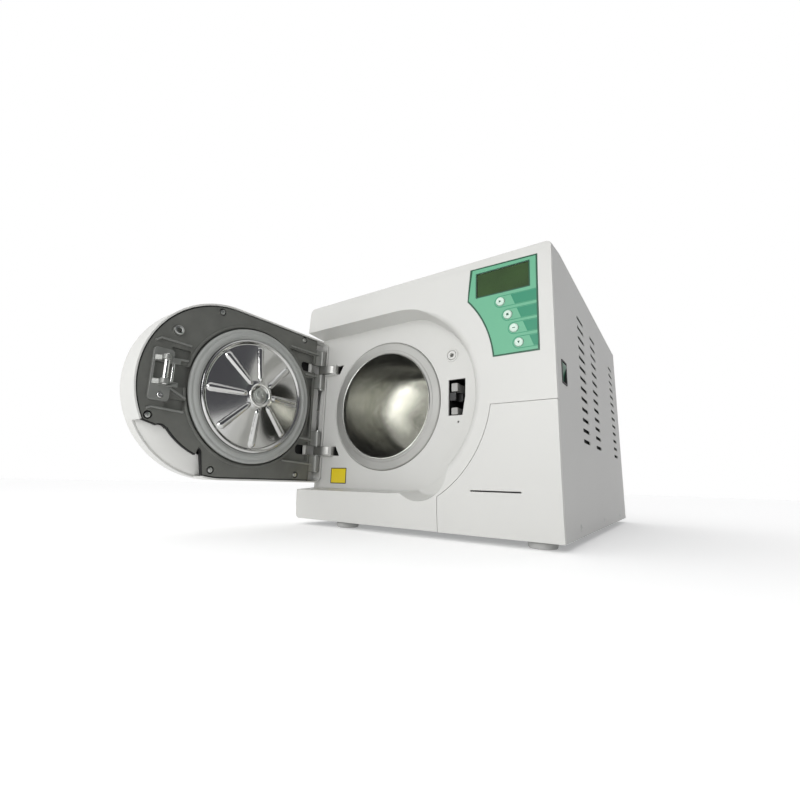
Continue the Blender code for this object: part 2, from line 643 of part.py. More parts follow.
def build_door():
    shell = domed_slab(DOOR, "door_shell", door_outline(0.0, 0.012), DOOR_FACE, DOOR_RIM, 0.016,
                       "moulded_white")
    cut(shell, domed_slab(DOOR, "door_space", door_outline(DOOR_WALL, 0.009),
                          DOOR_FACE + DOOR_WALL, 0.02, 0.014))
    for sign in (-1, 1):
        middle = CHAMBER_Z + sign * ARM_RISE
        cut(shell, box(DOOR, f"arm_notch_{sign}", (-0.01, -0.0300, middle - 0.0095),
                       (0.012, 0.02, middle + 0.0095)))

    centre = (CHAMBER_X, CHAMBER_Z)
    plate = slab(DOOR, "door_plate", [plate_outline(), circle(centre, DISH_RADIUS + 0.0007, 48)],
                 "Y", PLATE_BACK, PLATE_FRONT, "cast_aluminium")
    axis = (HINGE_X, HINGE_Y)
    for sign in (-1, 1):
        middle = CHAMBER_Z + sign * ARM_RISE
        cut(plate, box(DOOR, f"keyhole_{sign}", (0.0300, -0.05, middle - 0.0095),
                       (0.0605, 0.02, middle + 0.0095)))
        for index, (near, far) in enumerate(LUG_SPANS):
            low = CHAMBER_Z + min(sign * near, sign * far)
            high = CHAMBER_Z + max(sign * near, sign * far)
            web = [(PLATE_LEFT + 0.012, -0.0190), (PLATE_LEFT + 0.012, -0.0090)]
            web += arc(axis, BARREL_RADIUS, 60, 270, 10)
            join(plate, slab(DOOR, f"lug_{sign}_{index}", [web], "Z", low, high))
        cut(plate, rod(DOOR, f"pin_bore_{sign}", axis, PIN_RADIUS + GAP,
                       CHAMBER_Z + sign * ARM_RISE - 0.045, CHAMBER_Z + sign * ARM_RISE + 0.045,
                       "Z", None, 16))
        low = CHAMBER_Z + min(sign * 0.0370, sign * 0.1150)
        rod(DOOR, f"hinge_pin_{'lower' if sign < 0 else 'upper'}", axis, PIN_RADIUS, low,
            low + 0.0780, "Z", "satin_steel", 16)

    turned(DOOR, "seal_ring", [
        (SEAL_OUTER, PLATE_FRONT + GAP), (SEAL_OUTER, -0.0040), (SEAL_OUTER - 0.0018, SEAL_FACE),
        (SEAL_INNER + 0.0018, SEAL_FACE), (SEAL_INNER, -0.0040),
        (SEAL_INNER, PLATE_FRONT + GAP)][::-1],
        centre, "silicone", 48)
    turned(DOOR, "pressure_dish", [
        (0.0065, 0.0060), (0.0240, 0.0060), (0.0830, -0.0042), (0.0868, -0.0025),
        (DISH_RADIUS, -0.0042), (DISH_RADIUS, -0.0155), (0.0870, -0.0155), (0.0850, -0.0065),
        (0.0240, 0.0040), (0.0065, 0.0040)], centre, "polished_steel", 48)
    bolt = rod(DOOR, "hub_bolt", centre, 0.0060, -0.0277, 0.0075, "Y", "satin_steel", 24)
    join(bolt, rod(DOOR, "bolt_head", centre, 0.0095, 0.0064, 0.0092, "Y", None, 24))
    box(DOOR, "pressure_bridge", (0.0480, -0.0400, CHAMBER_Z - 0.0280),
        (0.2600, -0.0280, CHAMBER_Z + 0.0280), "galvanised", 0.002)

    base = box(DOOR, "latch_clevis", (0.2900, PLATE_FRONT + GAP, 0.1600),
               (0.3095, -0.0032, 0.2310), "satin_steel")
    tip = (LATCH_PIN_X, LATCH_PIN_Y)
    for index, middle in enumerate(CLEVIS_ARMS):
        ear = ([(0.2905, -0.0060), (0.3085, -0.0060), (0.3085, -0.0038), (0.3008, 0.0020)]
               + arc(tip, 0.0055, -10, 190, 8))
        join(base, slab(DOOR, f"clevis_arm_{index}", [ear], "Z", middle - 0.0030, middle + 0.0030))
    cut(base, rod(DOOR, "clevis_bore", tip, 0.0035 + GAP, 0.170, 0.230, "Z", None, 16))
    rod(DOOR, "latch_pin", tip, 0.0035, LATCH_PIN_SPAN[0], LATCH_PIN_SPAN[1], "Z",
        "polished_steel", 16)
    turned(DOOR, "lock_stud", [(0.0070, PLATE_FRONT + GAP), (0.0070, -0.0035), (0.0058, -0.0020),
                               (0.0034, -0.0020), (0.0034, PLATE_FRONT + GAP)][::-1],
           (LOCK_X, LOCK_Z), "satin_steel", 24)
    build_grip_cup()


def build_grip_cup():
    """The white tray behind the hand-hold, between the plate's cut-out and the shell."""
    end = (DOOR_END_X, CHAMBER_Z)
    outer = DOOR_HALF_HEIGHT - DOOR_WALL - GAP
    wall = 0.0025

    def sector(inner, low, high):
        return arc(end, outer, low, high, 12) + arc(end, inner, high, low, 10)

    cup = slab(DOOR, "grip_cup", [sector(GRIP_INNER - wall, -80, -24)], "Y", -0.0400,
               PLATE_BACK - GAP, "moulded_white")
    space = sector(GRIP_INNER, -78.5, -25.5)
    cut(cup, slab(DOOR, "grip_space", [space], "Y", -0.0375, 0.02))


def build_service():
    low, high, height = PAPER_SLOT
    body = box(CASE, "printer", (low - 0.006, -0.0290, 0.0300), (high + 0.006, 0.0350, 0.0900),
               "black_plastic")
    cut(body, box(CASE, "printer_space", (low - 0.003, -0.0120, 0.0360),
                  (high + 0.003, 0.0320, 0.1)))
    cut(body, box(CASE, "printer_mouth", (low, -0.05, height - 0.0012),
                  (high, 0.0, height + 0.0012)))
    paper = rod_mesh(ROLL_AXIS[1:], 0.0190, low + 0.001, high - 0.001, "X", 24)
    roll = ROLL.link("paper_roll", paper, "paper")
    cut(roll, rod(ROLL, "roll_bore", ROLL_AXIS[1:], 0.0063, 0.3, 0.42, "X", None, 16))
    rod(CASE, "roll_spindle", ROLL_AXIS[1:], 0.0055, low - 0.0027, high + 0.0027, "X",
        "satin_steel", 16)


def build_services():
    """What the steriliser needs inside: water, steam, vacuum, drying air, cooling and power."""
    rod(CASE, "steam_generator", (0.345, 0.110), 0.034, 0.120, 0.225, "Z", "polished_steel", 28)
    pump = rod(CASE, "vacuum_pump", (0.365, 0.062), 0.030, 0.140, 0.250, "Y", "cast_aluminium", 28)
    join(pump, box(CASE, "pump_foot", (0.340, 0.160, SHEET + GAP), (0.390, 0.230, 0.050)))
    tank = box(CASE, "water_tank", (0.285, 0.270, 0.255), (0.430, 0.440, 0.3830), "clear_tank")
    cut(tank, box(CASE, "tank_space", (0.288, 0.273, 0.258), (0.427, 0.437, 0.4)))
    waste = box(CASE, "waste_tank", (0.020, 0.420, 0.230), (0.250, 0.535, 0.380), "clear_tank")
    cut(waste, box(CASE, "waste_space", (0.023, 0.423, 0.233), (0.247, 0.532, 0.4)))
    block = box(CASE, "valve_block", (0.110, 0.370, 0.080), (0.190, 0.410, 0.130), "brass", 0.001)
    for index in range(3):
        join(block, rod(CASE, f"valve_{index}", (0.124 + 0.026 * index, 0.390), 0.010, 0.125, 0.165,
                        "Z", None, 16))
    condenser = box(CASE, "condenser", (0.312, 0.470, 0.062), (0.408, 0.510, 0.158), "copper")
    for index in range(7):
        left = 0.319 + 0.0126 * index
        cut(condenser, box(CASE, f"fin_gap_{index}", (left, 0.4, 0.068),
                           (left + 0.0065, 0.504, 0.152)))
    pipe("drain_pipe", [
        (0.1525, 0.3235, 0.135), (0.1525, 0.3300, 0.135), (0.1520, 0.3390, 0.131),
        (0.1505, 0.3540, 0.109), (0.1500, 0.3640, 0.105), (0.1500, 0.3697, 0.105)])
    pipe("steam_pipe", [
        (0.1525, 0.3235, 0.245), (0.1525, 0.3290, 0.245), (0.1580, 0.3440, 0.245),
        (0.1900, 0.3540, 0.245), (0.2550, 0.3420, 0.244), (0.2900, 0.2700, 0.242),
        (0.3100, 0.1800, 0.243), (0.3350, 0.1280, 0.245), (0.3450, 0.1100, 0.236),
        (0.3450, 0.1100, 0.2310), (0.3450, 0.1100, 0.2254)])


def pipe(name, points):
    """A rigid pipe: a straight stub at each end, and a smooth curve between them."""
    curve = bpy.data.curves.new(name, "CURVE")
    curve.dimensions = "3D"
    curve.bevel_depth = PIPE_RADIUS
    curve.bevel_resolution = 2
    curve.use_fill_caps = True
    spline = curve.splines.new("POLY")
    path = [points[0]] + smooth(points[1:-1], 4) + [points[-1]]
    spline.points.add(len(path) - 1)
    for point, place in zip(spline.points, path):
        point.co = (*place, 1.0)
    piece = bpy.data.objects.new(name, curve)
    piece.parent = CASE.parent
    model.objects.link(piece)
    curve.materials.append(finish_of("copper"))


def smooth(points, steps):
    """Points read from a Catmull-Rom curve through the given ones."""
    places = [Vector(point) for point in points]
    places = [places[0] * 2 - places[1]] + places + [places[-1] * 2 - places[-2]]
    path = []
    for before, start, end, after in zip(places, places[1:], places[2:], places[3:]):
        for step in range(steps):
            t = step / steps
            path.append((start * 2 + (end - before) * t
                         + (before * 2 - start * 5 + end * 4 - after) * t ** 2
                         + (start * 3 - before - end * 3 + after) * t ** 3) / 2)
    return path + [places[-2]]


def build_rear():
    lid = box(LID, "fill_lid", (0.3025, 0.3005, CASE_TOP - 0.0012), (0.4075, LID_REAR, LID_TOP),
              "moulded_white")
    cut(lid, box(LID, "lid_notch", (0.340, 0.29, CASE_TOP), (0.370, 0.3045, CASE_TOP + 0.01)))
    centre = (FAN_X, FAN_Z)
    frame = box(CASE, "fan_frame", (FAN_X - 0.042, 0.5190, FAN_Z - 0.042),
                (FAN_X + 0.042, 0.5390, FAN_Z + 0.042), "black_plastic")
    cut(frame, rod(CASE, "fan_bore", centre, FAN_RADIUS + 0.0015, 0.5220, 0.6, "Y", None, 32))
    for index in range(4):
        start = 90 * index + 8
        hole = arc(centre, FAN_RADIUS, start, start + 74, 8) + arc(centre, 0.0150, start + 70,
                                                                  start + 4, 4)
        cut(frame, slab(CASE, f"spider_gap_{index}", [hole], "Y", 0.5, 0.53))
    rotor = rod(FAN, "fan_rotor", centre, 0.0150, 0.5225, 0.5360, "Y", "black_plastic", 24)
    for index in range(5):
        blade = box_mesh((0.0130, -0.0010, -0.0065), (FAN_RADIUS, 0.0010, 0.0065))
        place = (Matrix.Translation((FAN_X, FAN_Y + 0.0015, FAN_Z)) @ Matrix.Rotation(
            math.radians(72 * index), 4, "Y") @ Matrix.Rotation(math.radians(55), 4, "X"))
        blade.transform(place)
        join(rotor, FAN.link(f"blade_{index}", blade, None))
    inlet = box(CASE, "power_inlet", (0.2285, 0.5200, 0.0385), (0.2575, 0.5510, 0.0635),
                "black_plastic")
    cut(inlet, box(CASE, "inlet_space", (0.2315, 0.5300, 0.0420), (0.2545, 0.56, 0.0600)))
    for letter, x in (("clean", 0.050), ("waste", 0.095)):
        rod(CASE, f"drain_port_{letter}", (x, 0.050), 0.0070, 0.5300, 0.5620, "Y", "brass", 20)
    valve = rod(CASE, "safety_valve", (0.090, 0.300), 0.0090, 0.5400, 0.5620, "Y", "brass", 20)
    join(valve, rod(CASE, "valve_cap", (0.090, 0.300), 0.0120, 0.5500, 0.5590, "Y", None, 6))


build_casing()
build_front()
build_chamber()
build_latch()
build_controls()
build_door()
build_service()
build_services()
build_rear()
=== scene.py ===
"""Looks for the benchtop autoclave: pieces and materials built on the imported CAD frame.

Shapes are written in the case's own frame, in metres: X from the case's left side, Y from the
chamber's mouth to the rear, Z up from the case's underside. The door's shapes are written as
the door lies when shut, and are then swung open about the record's hinge.
"""
import json
import math

import bmesh
import bpy
from mathutils import Matrix, Vector


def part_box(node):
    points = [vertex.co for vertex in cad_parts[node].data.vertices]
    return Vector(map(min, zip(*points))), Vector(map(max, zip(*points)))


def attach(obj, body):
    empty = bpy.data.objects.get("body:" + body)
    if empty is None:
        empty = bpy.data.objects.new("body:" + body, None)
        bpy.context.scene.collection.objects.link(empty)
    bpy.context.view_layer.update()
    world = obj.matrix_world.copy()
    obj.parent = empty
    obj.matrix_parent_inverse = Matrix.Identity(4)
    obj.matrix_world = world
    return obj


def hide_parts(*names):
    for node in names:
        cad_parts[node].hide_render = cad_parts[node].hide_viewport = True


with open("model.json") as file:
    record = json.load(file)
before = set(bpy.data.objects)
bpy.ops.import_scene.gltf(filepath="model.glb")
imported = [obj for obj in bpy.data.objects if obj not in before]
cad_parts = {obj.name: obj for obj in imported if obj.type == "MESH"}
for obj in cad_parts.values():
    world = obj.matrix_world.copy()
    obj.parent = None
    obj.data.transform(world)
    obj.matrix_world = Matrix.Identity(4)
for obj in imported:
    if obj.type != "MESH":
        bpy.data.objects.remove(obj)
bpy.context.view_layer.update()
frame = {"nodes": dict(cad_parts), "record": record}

NODES = frame["nodes"]
JOINTS = {joint["name"]: joint for joint in frame["record"]["behaviour"]["joints"]}

# The case's frame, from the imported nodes
ORIGIN = Vector((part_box("front_bezel")[0].x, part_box("front_bezel")[1].y - 0.003,
                 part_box("base_pan")[0].z))
CASE = Matrix.Translation(ORIGIN)
HINGE = Vector(JOINTS["door_hinge"]["pos_m"]) - ORIGIN
DOOR_OPEN = math.radians(92.0)
DOOR = (CASE @ Matrix.Translation(HINGE) @ Matrix.Rotation(-DOOR_OPEN, 4, "Z")
        @ Matrix.Translation(-HINGE))

# Sizes shared with the CAD, in the case's frame
WIDTH = 0.445
TOP = 0.3923
REAR = 0.548
SHEET = 0.0015
FACE = ((0.0005, 0.0382), (0.026, 0.0405), (0.090, 0.0420), (0.170, 0.0418), (0.250, 0.0412),
        (0.338, 0.0400), (0.372, 0.0382), (0.3858, 0.0358))
FRONT_BACK = -0.0325
FRONT_TOP = 0.3858
CX = 0.1525
CZ = 0.1929
RECESS_X = 0.190
FLANGE_OUTER = 0.1093
FLANGE_FACE = -0.0015
LATCH_Z = 0.1945
LOCK = (0.2815, 0.2610)
DOOR_END_X = 0.1945
DOOR_HALF = 0.132
PLATE_FRONT = -0.0080
PLATE_BACK = -0.0140
PLATE_LEFT = 0.0310
BARREL = 0.0056
ARM_RISE = 0.0755
BUTTONS = ((0.376, 0.3115), (0.386, 0.2905), (0.394, 0.2700), (0.400, 0.2490))
DISPLAY = (0.3410, 0.3262, 0.4155, 0.3620)
ROCKER = (0.4410, 0.0015, 0.2120)
FILM_LIFT = 0.0003
FILM_THICK = 0.00012
KEY_BAND_END = 0.4248
KEY_BAND_HALF = 0.0085
KEY_LINE = 0.0008
DOOR_END = (DOOR_END_X, CZ)
SCREWS = ((68, 118), (-92, 122), (151, -52), (59, -118), (-93, -120))


# Materials

def material(name, colour, rough=0.5, metal=0.0, grain=900.0, bump=0.05, vary=0.03, blotch=12.0,
             stretch=(1.0, 1.0, 1.0), rough_vary=0.08, coat=0.0, spec=0.5, depth=0.0004,
             subsurface=0.0):
    """A surface whose colour and roughness drift over blotches, with a fine grain in its relief."""
    made = bpy.data.materials.new(name)
    made.use_nodes = True
    tree = made.node_tree
    shader = tree.nodes["Principled BSDF"]
    shader.inputs["Metallic"].default_value = metal
    shader.inputs["Coat Weight"].default_value = coat
    shader.inputs["Coat Roughness"].default_value = 0.15
    shader.inputs["Specular IOR Level"].default_value = spec
    if subsurface > 0:
        shader.inputs["Subsurface Weight"].default_value = subsurface
        shader.inputs["Subsurface Scale"].default_value = 0.01
    place = tree.nodes.new("ShaderNodeTexCoord")
    stretched = tree.nodes.new("ShaderNodeMapping")
    stretched.inputs["Scale"].default_value = stretch
    tree.links.new(place.outputs["Object"], stretched.inputs["Vector"])

    def clouds(scale, detail, source):
        texture = tree.nodes.new("ShaderNodeTexNoise")
        texture.inputs["Scale"].default_value = scale
        texture.inputs["Detail"].default_value = detail
        tree.links.new(source, texture.inputs["Vector"])
        return texture.outputs["Fac"]

    broad = clouds(blotch, 4.0, place.outputs["Object"])
    fine = clouds(grain, 3.0, stretched.outputs["Vector"])
    ramp = tree.nodes.new("ShaderNodeValToRGB")
    ramp.color_ramp.elements[0].position = 0.3
    ramp.color_ramp.elements[1].position = 0.7
    for element, shift in zip(ramp.color_ramp.elements, (1.0 - vary, 1.0 + vary)):
        element.color = (*[min(1.0, channel * shift) for channel in colour], 1.0)
    tree.links.new(broad, ramp.inputs["Fac"])
    tree.links.new(ramp.outputs["Color"], shader.inputs["Base Color"])
    drift = tree.nodes.new("ShaderNodeMapRange")
    drift.inputs["To Min"].default_value = max(0.02, rough - rough_vary)
    drift.inputs["To Max"].default_value = min(1.0, rough + rough_vary)
    tree.links.new(fine, drift.inputs["Value"])
    tree.links.new(drift.outputs["Result"], shader.inputs["Roughness"])
    relief = tree.nodes.new("ShaderNodeBump")
    relief.inputs["Strength"].default_value = bump
    relief.inputs["Distance"].default_value = depth
    tree.links.new(fine, relief.inputs["Height"])
    tree.links.new(relief.outputs["Normal"], shader.inputs["Normal"])
    return made


def ringed(made, centre, pitch=2600.0):
    """Turning marks: the fine grain follows circles round a centre, instead of a cloud."""
    tree = made.node_tree
    place = next(node for node in tree.nodes if node.type == "TEX_COORD")
    stretched = next(node for node in tree.nodes if node.type == "MAPPING")
    shift = tree.nodes.new("ShaderNodeVectorMath")
    shift.operation = "SUBTRACT"
    shift.inputs[1].default_value = centre
    length = tree.nodes.new("ShaderNodeVectorMath")
    length.operation = "LENGTH"
    tree.links.new(place.outputs["Object"], shift.inputs[0])
    tree.links.new(shift.outputs["Vector"], length.inputs[0])
    tree.links.new(length.outputs["Value"], stretched.inputs["Vector"])
    stretched.inputs["Scale"].default_value = (pitch / 900.0,) * 3
    return made


WHITE = (0.625, 0.625, 0.602)
LOOKS = {
    "moulded_white": material("moulded_white", WHITE, 0.42, 0.0, 2200, 0.10, 0.012, 9),
    "painted_steel": material("painted_steel", (0.575, 0.575, 0.558), 0.46, 0.0, 1500, 0.16, 0.012,
                              7),
    "cast_aluminium": material("cast_aluminium", (0.150, 0.153, 0.140), 0.48, 0.35, 1100, 0.30,
                               0.10, 40),
    "polished_steel": material("polished_steel", (0.66, 0.66, 0.64), 0.13, 1.0, 500, 0.04, 0.05,
                               18, rough_vary=0.05),
    "chamber_steel": material("chamber_steel", (0.62, 0.62, 0.59), 0.20, 1.0, 60, 0.10, 0.10, 9,
                              rough_vary=0.10, depth=0.002),
    "satin_steel": material("satin_steel", (0.56, 0.57, 0.55), 0.30, 1.0, 700, 0.10, 0.05, 25,
                            (1.0, 1.0, 8.0)),
    "bright_steel": material("bright_steel", (0.80, 0.80, 0.78), 0.16, 1.0, 600, 0.04, 0.03, 25),
    "galvanised": material("galvanised", (0.45, 0.46, 0.46), 0.45, 0.9, 180, 0.10, 0.14, 60),
    "silicone": material("silicone", (0.37, 0.38, 0.365), 0.50, 0.0, 1300, 0.08, 0.05, 30),
    "rubber": material("rubber", (0.42, 0.42, 0.41), 0.62, 0.0, 1500, 0.25, 0.06, 40),
    "mint_film": material("mint_film", (0.115, 0.395, 0.235), 0.33, 0.0, 2500, 0.05, 0.02, 20,
                          coat=0.2),
    "film_border": material("film_border", (0.001, 0.070, 0.032), 0.33, 0.0, 2500, 0.05, 0.03, 20,
                            coat=0.2),
    "film_hatch": material("film_hatch", (0.004, 0.22, 0.115), 0.33, 0.0, 2500, 0.05, 0.03, 20,
                           coat=0.2),
    "display": material("display", (0.024, 0.060, 0.012), 0.30, 0.0, 1400, 0.03, 0.16, 30,
                        (1.0, 1.0, 0.2), spec=0.25),
    "green_rocker": material("green_rocker", (0.002, 0.10, 0.045), 0.50, 0.0, 1800, 0.06, 0.05, 30,
                             coat=0.3),
    "black_plastic": material("black_plastic", (0.013, 0.013, 0.013), 0.50, 0.0, 1600, 0.20, 0.10,
                              40),
    "pale_button": material("pale_button", (0.60, 0.74, 0.65), 0.38, 0.0, 2000, 0.08, 0.02, 30),
    "circuit_board": material("circuit_board", (0.01, 0.12, 0.05), 0.45, 0.0, 400, 0.20, 0.30,
                              220),
    "clear_tank": material("clear_tank", (0.72, 0.74, 0.72), 0.35, 0.0, 500, 0.05, 0.03, 14,
                           subsurface=0.3),
    "brass": material("brass", (0.58, 0.42, 0.17), 0.28, 1.0, 900, 0.08, 0.08, 30),
    "copper": material("copper", (0.62, 0.30, 0.18), 0.30, 1.0, 500, 0.08, 0.12, 30),
    "fibre": material("fibre", (0.60, 0.58, 0.50), 0.92, 0.0, 260, 0.9, 0.14, 50, depth=0.002),
    "paper": material("paper", (0.82, 0.82, 0.79), 0.85, 0.0, 1400, 0.15, 0.02, 20),
    "flange_steel": ringed(material("flange_steel", (0.46, 0.46, 0.44), 0.45, 0.7, 900, 0.10,
                              0.05, 20), CASE @ Vector((CX, 0.0, CZ))),
    "dish_steel": material("dish_steel", (0.60, 0.60, 0.59), 0.14, 1.0, 420, 0.03, 0.06, 14,
                              rough_vary=0.05),
    "arm_steel": material("arm_steel", (0.36, 0.36, 0.345), 0.36, 1.0, 700, 0.10, 0.05, 25),
    "dark_steel": material("dark_steel", (0.05, 0.05, 0.05), 0.35, 0.6, 900, 0.1, 0.1, 30),
    # Cast metal lighter than the plate's: painted light on the ribs' and hinge lugs' lit faces, and
    # partly a lighter tone on the clevis.
    "cast_painted_lighter": material("cast_painted_lighter", (0.27, 0.275, 0.26), 0.42, 0.6, 1100, 0.25, 0.08, 40),
    "sticker": material("sticker", (0.80, 0.62, 0.02), 0.40, 0.0, 2000, 0.04, 0.03, 40),
    "guide_grey": material("guide_grey", (0.36, 0.36, 0.345), 0.5, 0.0, 1600, 0.1, 0.05, 30),
    # Near-black: painted shade, laid in the plate's gap, the screw counterbores, the keyhole cups and
    # behind the side vents.
    "deep_black": material("deep_black", (0.006, 0.006, 0.006), 0.7, 0.0, 800, 0.1, 0.2, 30),
}


# Mesh code

def mesh_of(body):
    """A finished mesh from a bmesh, which is freed."""
    mesh = bpy.data.meshes.new("shape")
    body.to_mesh(mesh)
    body.free()
    return mesh


AXES = {
    "X": Matrix(((0, 0, 1), (1, 0, 0), (0, 1, 0))).to_4x4(),
    "Y": Matrix(((1, 0, 0), (0, 0, -1), (0, 1, 0))).to_4x4(),
    "Z": Matrix.Identity(4),
}


def prism(outlines, axis, start, end):
    """Closed outlines, the first the outside and the others holes, extruded along an axis."""
    curve = bpy.data.curves.new("outline", "CURVE")
    curve.dimensions = "2D"
    curve.fill_mode = "BOTH"
    curve.extrude = abs(end - start) / 2
    for outline in outlines:
        spline = curve.splines.new("POLY")
        spline.points.add(len(outline) - 1)
        for point, (across, up) in zip(spline.points, outline):
            point.co = (across, up, 0.0, 1.0)
        spline.use_cyclic_u = True
    guide = bpy.data.objects.new("outline", curve)
    bpy.context.scene.collection.objects.link(guide)
    bpy.context.view_layer.update()
    mesh = bpy.data.meshes.new_from_object(
        guide.evaluated_get(bpy.context.evaluated_depsgraph_get()))
    bpy.data.objects.remove(guide, do_unlink=True)
    body = bmesh.new()
    body.from_mesh(mesh)
    bmesh.ops.remove_doubles(body, verts=body.verts, dist=1e-6)
    bmesh.ops.dissolve_limit(body, angle_limit=math.radians(0.3), verts=body.verts,
                             edges=body.edges)
    mesh = mesh_of(body)
    middle = (start + end) / 2
    shift = {"X": (middle, 0, 0), "Y": (0, middle, 0), "Z": (0, 0, middle)}[axis]
    mesh.transform(Matrix.Translation(shift) @ AXES[axis])
    return mesh


def block(low, high):
    """A box between two opposite corners."""
    low, high = Vector(low), Vector(high)
    body = bmesh.new()
    bmesh.ops.create_cube(body, size=1.0,
                          matrix=Matrix.LocRotScale((low + high) / 2, None, high - low))
    return mesh_of(body)


def loft(rings, closed=False):
    """Rings of the same number of points, joined in order; capped unless the loft is closed."""
    count = len(rings[0])
    verts = [point for ring in rings for point in ring]
    faces = []
    pairs = list(zip(range(len(rings)), range(1, len(rings))))
    if closed:
        pairs.append((len(rings) - 1, 0))
    for low, high in pairs:
        for index in range(count):
            after = (index + 1) % count
            faces.append((low * count + index, low * count + after, high * count + after,
                          high * count + index))
    if not closed:
        faces.append(tuple(range(count))[::-1])
        faces.append(tuple(range((len(rings) - 1) * count, len(rings) * count)))
    mesh = bpy.data.meshes.new("loft")
    mesh.from_pydata(verts, [], faces)
    body = bmesh.new()
    body.from_mesh(mesh)
    bmesh.ops.recalc_face_normals(body, faces=body.faces)
    return mesh_of(body)


def lathe(profile, centre, steps=96):
    """A closed (radius, along) profile turned round an axis that lies along Y."""
    rings = []
    for step in range(steps):
        angle = 2 * math.pi * step / steps
        c, s = math.cos(angle), math.sin(angle)
        rings.append([(centre[0] + r * c, along, centre[1] + r * s) for r, along in profile])
    return loft(rings, closed=True)


def drum(profile, centre, steps=48, axis="Y"):
    """A turned shape that is solid on its axis, from an open profile that ends short of it."""
    rings = []
    for r, along in profile:
        ring = []
        for step in range(steps):
            angle = 2 * math.pi * step / steps
            a, b = centre[0] + r * math.cos(angle), centre[1] + r * math.sin(angle)
            ring.append({"Y": (a, along, b), "X": (along, a, b), "Z": (a, b, along)}[axis])
        rings.append(ring)
    return loft(rings)


def arc(centre, radius, start, end, steps):
    """Points along an arc, from and to the angles in degrees."""
    points = []
    for step in range(steps + 1):
        angle = math.radians(start + (end - start) * step / steps)
        points.append((centre[0] + radius * math.cos(angle), centre[1] + radius * math.sin(angle)))
    return points


def circle(centre, radius, steps=48):
    return arc(centre, radius, 0, 360, steps)[:-1]


def rounded(left, bottom, right, top, radius, steps=6):
    """A rectangle with round corners."""
    return (arc((right - radius, bottom + radius), radius, -90, 0, steps)
            + arc((right - radius, top - radius), radius, 0, 90, steps)
            + arc((left + radius, top - radius), radius, 90, 180, steps)
            + arc((left + radius, bottom + radius), radius, 180, 270, steps))


def carve(mesh, others, operation="DIFFERENCE"):
    """The mesh with each of the others cut from it, joined to it or kept in common with it."""
    piece = bpy.data.objects.new("carved", mesh)
    bpy.context.scene.collection.objects.link(piece)
    guides = []
    for other in others:
        guide = bpy.data.objects.new("guide", other)
        bpy.context.scene.collection.objects.link(guide)
        guides.append(guide)
        step = piece.modifiers.new("step", "BOOLEAN")
        step.operation = operation
        step.solver = "EXACT"
        step.object = guide
    bpy.context.view_layer.update()
    result = bpy.data.meshes.new_from_object(
        piece.evaluated_get(bpy.context.evaluated_depsgraph_get()))
    for made in (piece, *guides):
        bpy.data.objects.remove(made, do_unlink=True)
    return result


def merged(meshes):
    """Several separate closed shapes as one mesh."""
    body = bmesh.new()
    for mesh in meshes:
        body.from_mesh(mesh)
    return mesh_of(body)


def add(name, mesh, look, body="case", place=None, edge=0.0, nodes=(), segments=2,
        angle=32.0):
    """Links a finished piece: edges softened, smooth shading, material, body and CAD nodes."""
    matrix = place or (DOOR if body == "door" else CASE)
    mesh.transform(matrix)
    mesh.materials.clear()
    mesh.materials.append(LOOKS[look])
    piece = bpy.data.objects.new(name, mesh)
    bpy.context.scene.collection.objects.link(piece)
    mesh.shade_smooth()
    if edge == 0:
        mesh.set_sharp_from_angle(angle=math.radians(angle))
    else:
        bevel = piece.modifiers.new("edges", "BEVEL")
        bevel.width = edge
        bevel.segments = segments
        bevel.limit_method = "ANGLE"
        bevel.angle_limit = math.radians(angle)
        bevel.harden_normals = False
        weigh = piece.modifiers.new("weigh", "WEIGHTED_NORMAL")
        weigh.keep_sharp = True
    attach(piece, body)
    if nodes:
        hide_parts(*nodes)
    return piece


def face_depth(z):
    """How far the front moulding's face stands before Y = 0 at a height."""
    if z <= FACE[0][0]:
        return FACE[0][1]
    for (low, start), (high, end) in zip(FACE, FACE[1:]):
        if z <= high:
            t = (z - low) / (high - low)
            return start + (end - start) * t
    return FACE[-1][1]


def blend(low, high, value):
    """0 below low, 1 above high, with a smooth rise between them."""
    t = min(1.0, max(0.0, (value - low) / (high - low)))
    return t * t * (3 - 2 * t)


def face_prism(back=FRONT_BACK, proud=0.0):
    """The space from the front's convex face back to a plane."""
    outline = [(back, -0.01), (-FACE[0][1] - proud, -0.01)]
    outline += [(-depth - proud, height) for height, depth in FACE]
    outline += [(-FACE[-1][1] - proud + 0.002, FRONT_TOP + 0.01), (back, FRONT_TOP + 0.01)]
    return prism([outline], "X", -0.02, WIDTH + 0.02)


def film(name, outlines, look):
    """A thin printed area that lies on the front's convex face."""
    mesh = prism(outlines, "Y", -FILM_LIFT - FILM_THICK, -FILM_LIFT)
    body = bmesh.new()
    body.from_mesh(mesh)
    for step in range(1, 60):
        height = 0.22 + 0.003 * step
        bmesh.ops.bisect_plane(body, geom=body.verts[:] + body.edges[:] + body.faces[:],
                               plane_co=(0, 0, height), plane_no=(0, 0, 1))
    for vertex in body.verts:
        vertex.co.y -= face_depth(vertex.co.z)
    bmesh.ops.triangulate(body, faces=body.faces)
    return add(name, mesh_of(body), look)


def cross(spot, reach, half, start, end):
    """Two crossed blocks along Y, which cut the recess in a screw's head."""
    x, z = spot
    return [block((x - reach, start, z - half), (x + reach, end, z + half)),
            block((x - half, start, z - reach), (x + half, end, z + reach))]


# Front moulding

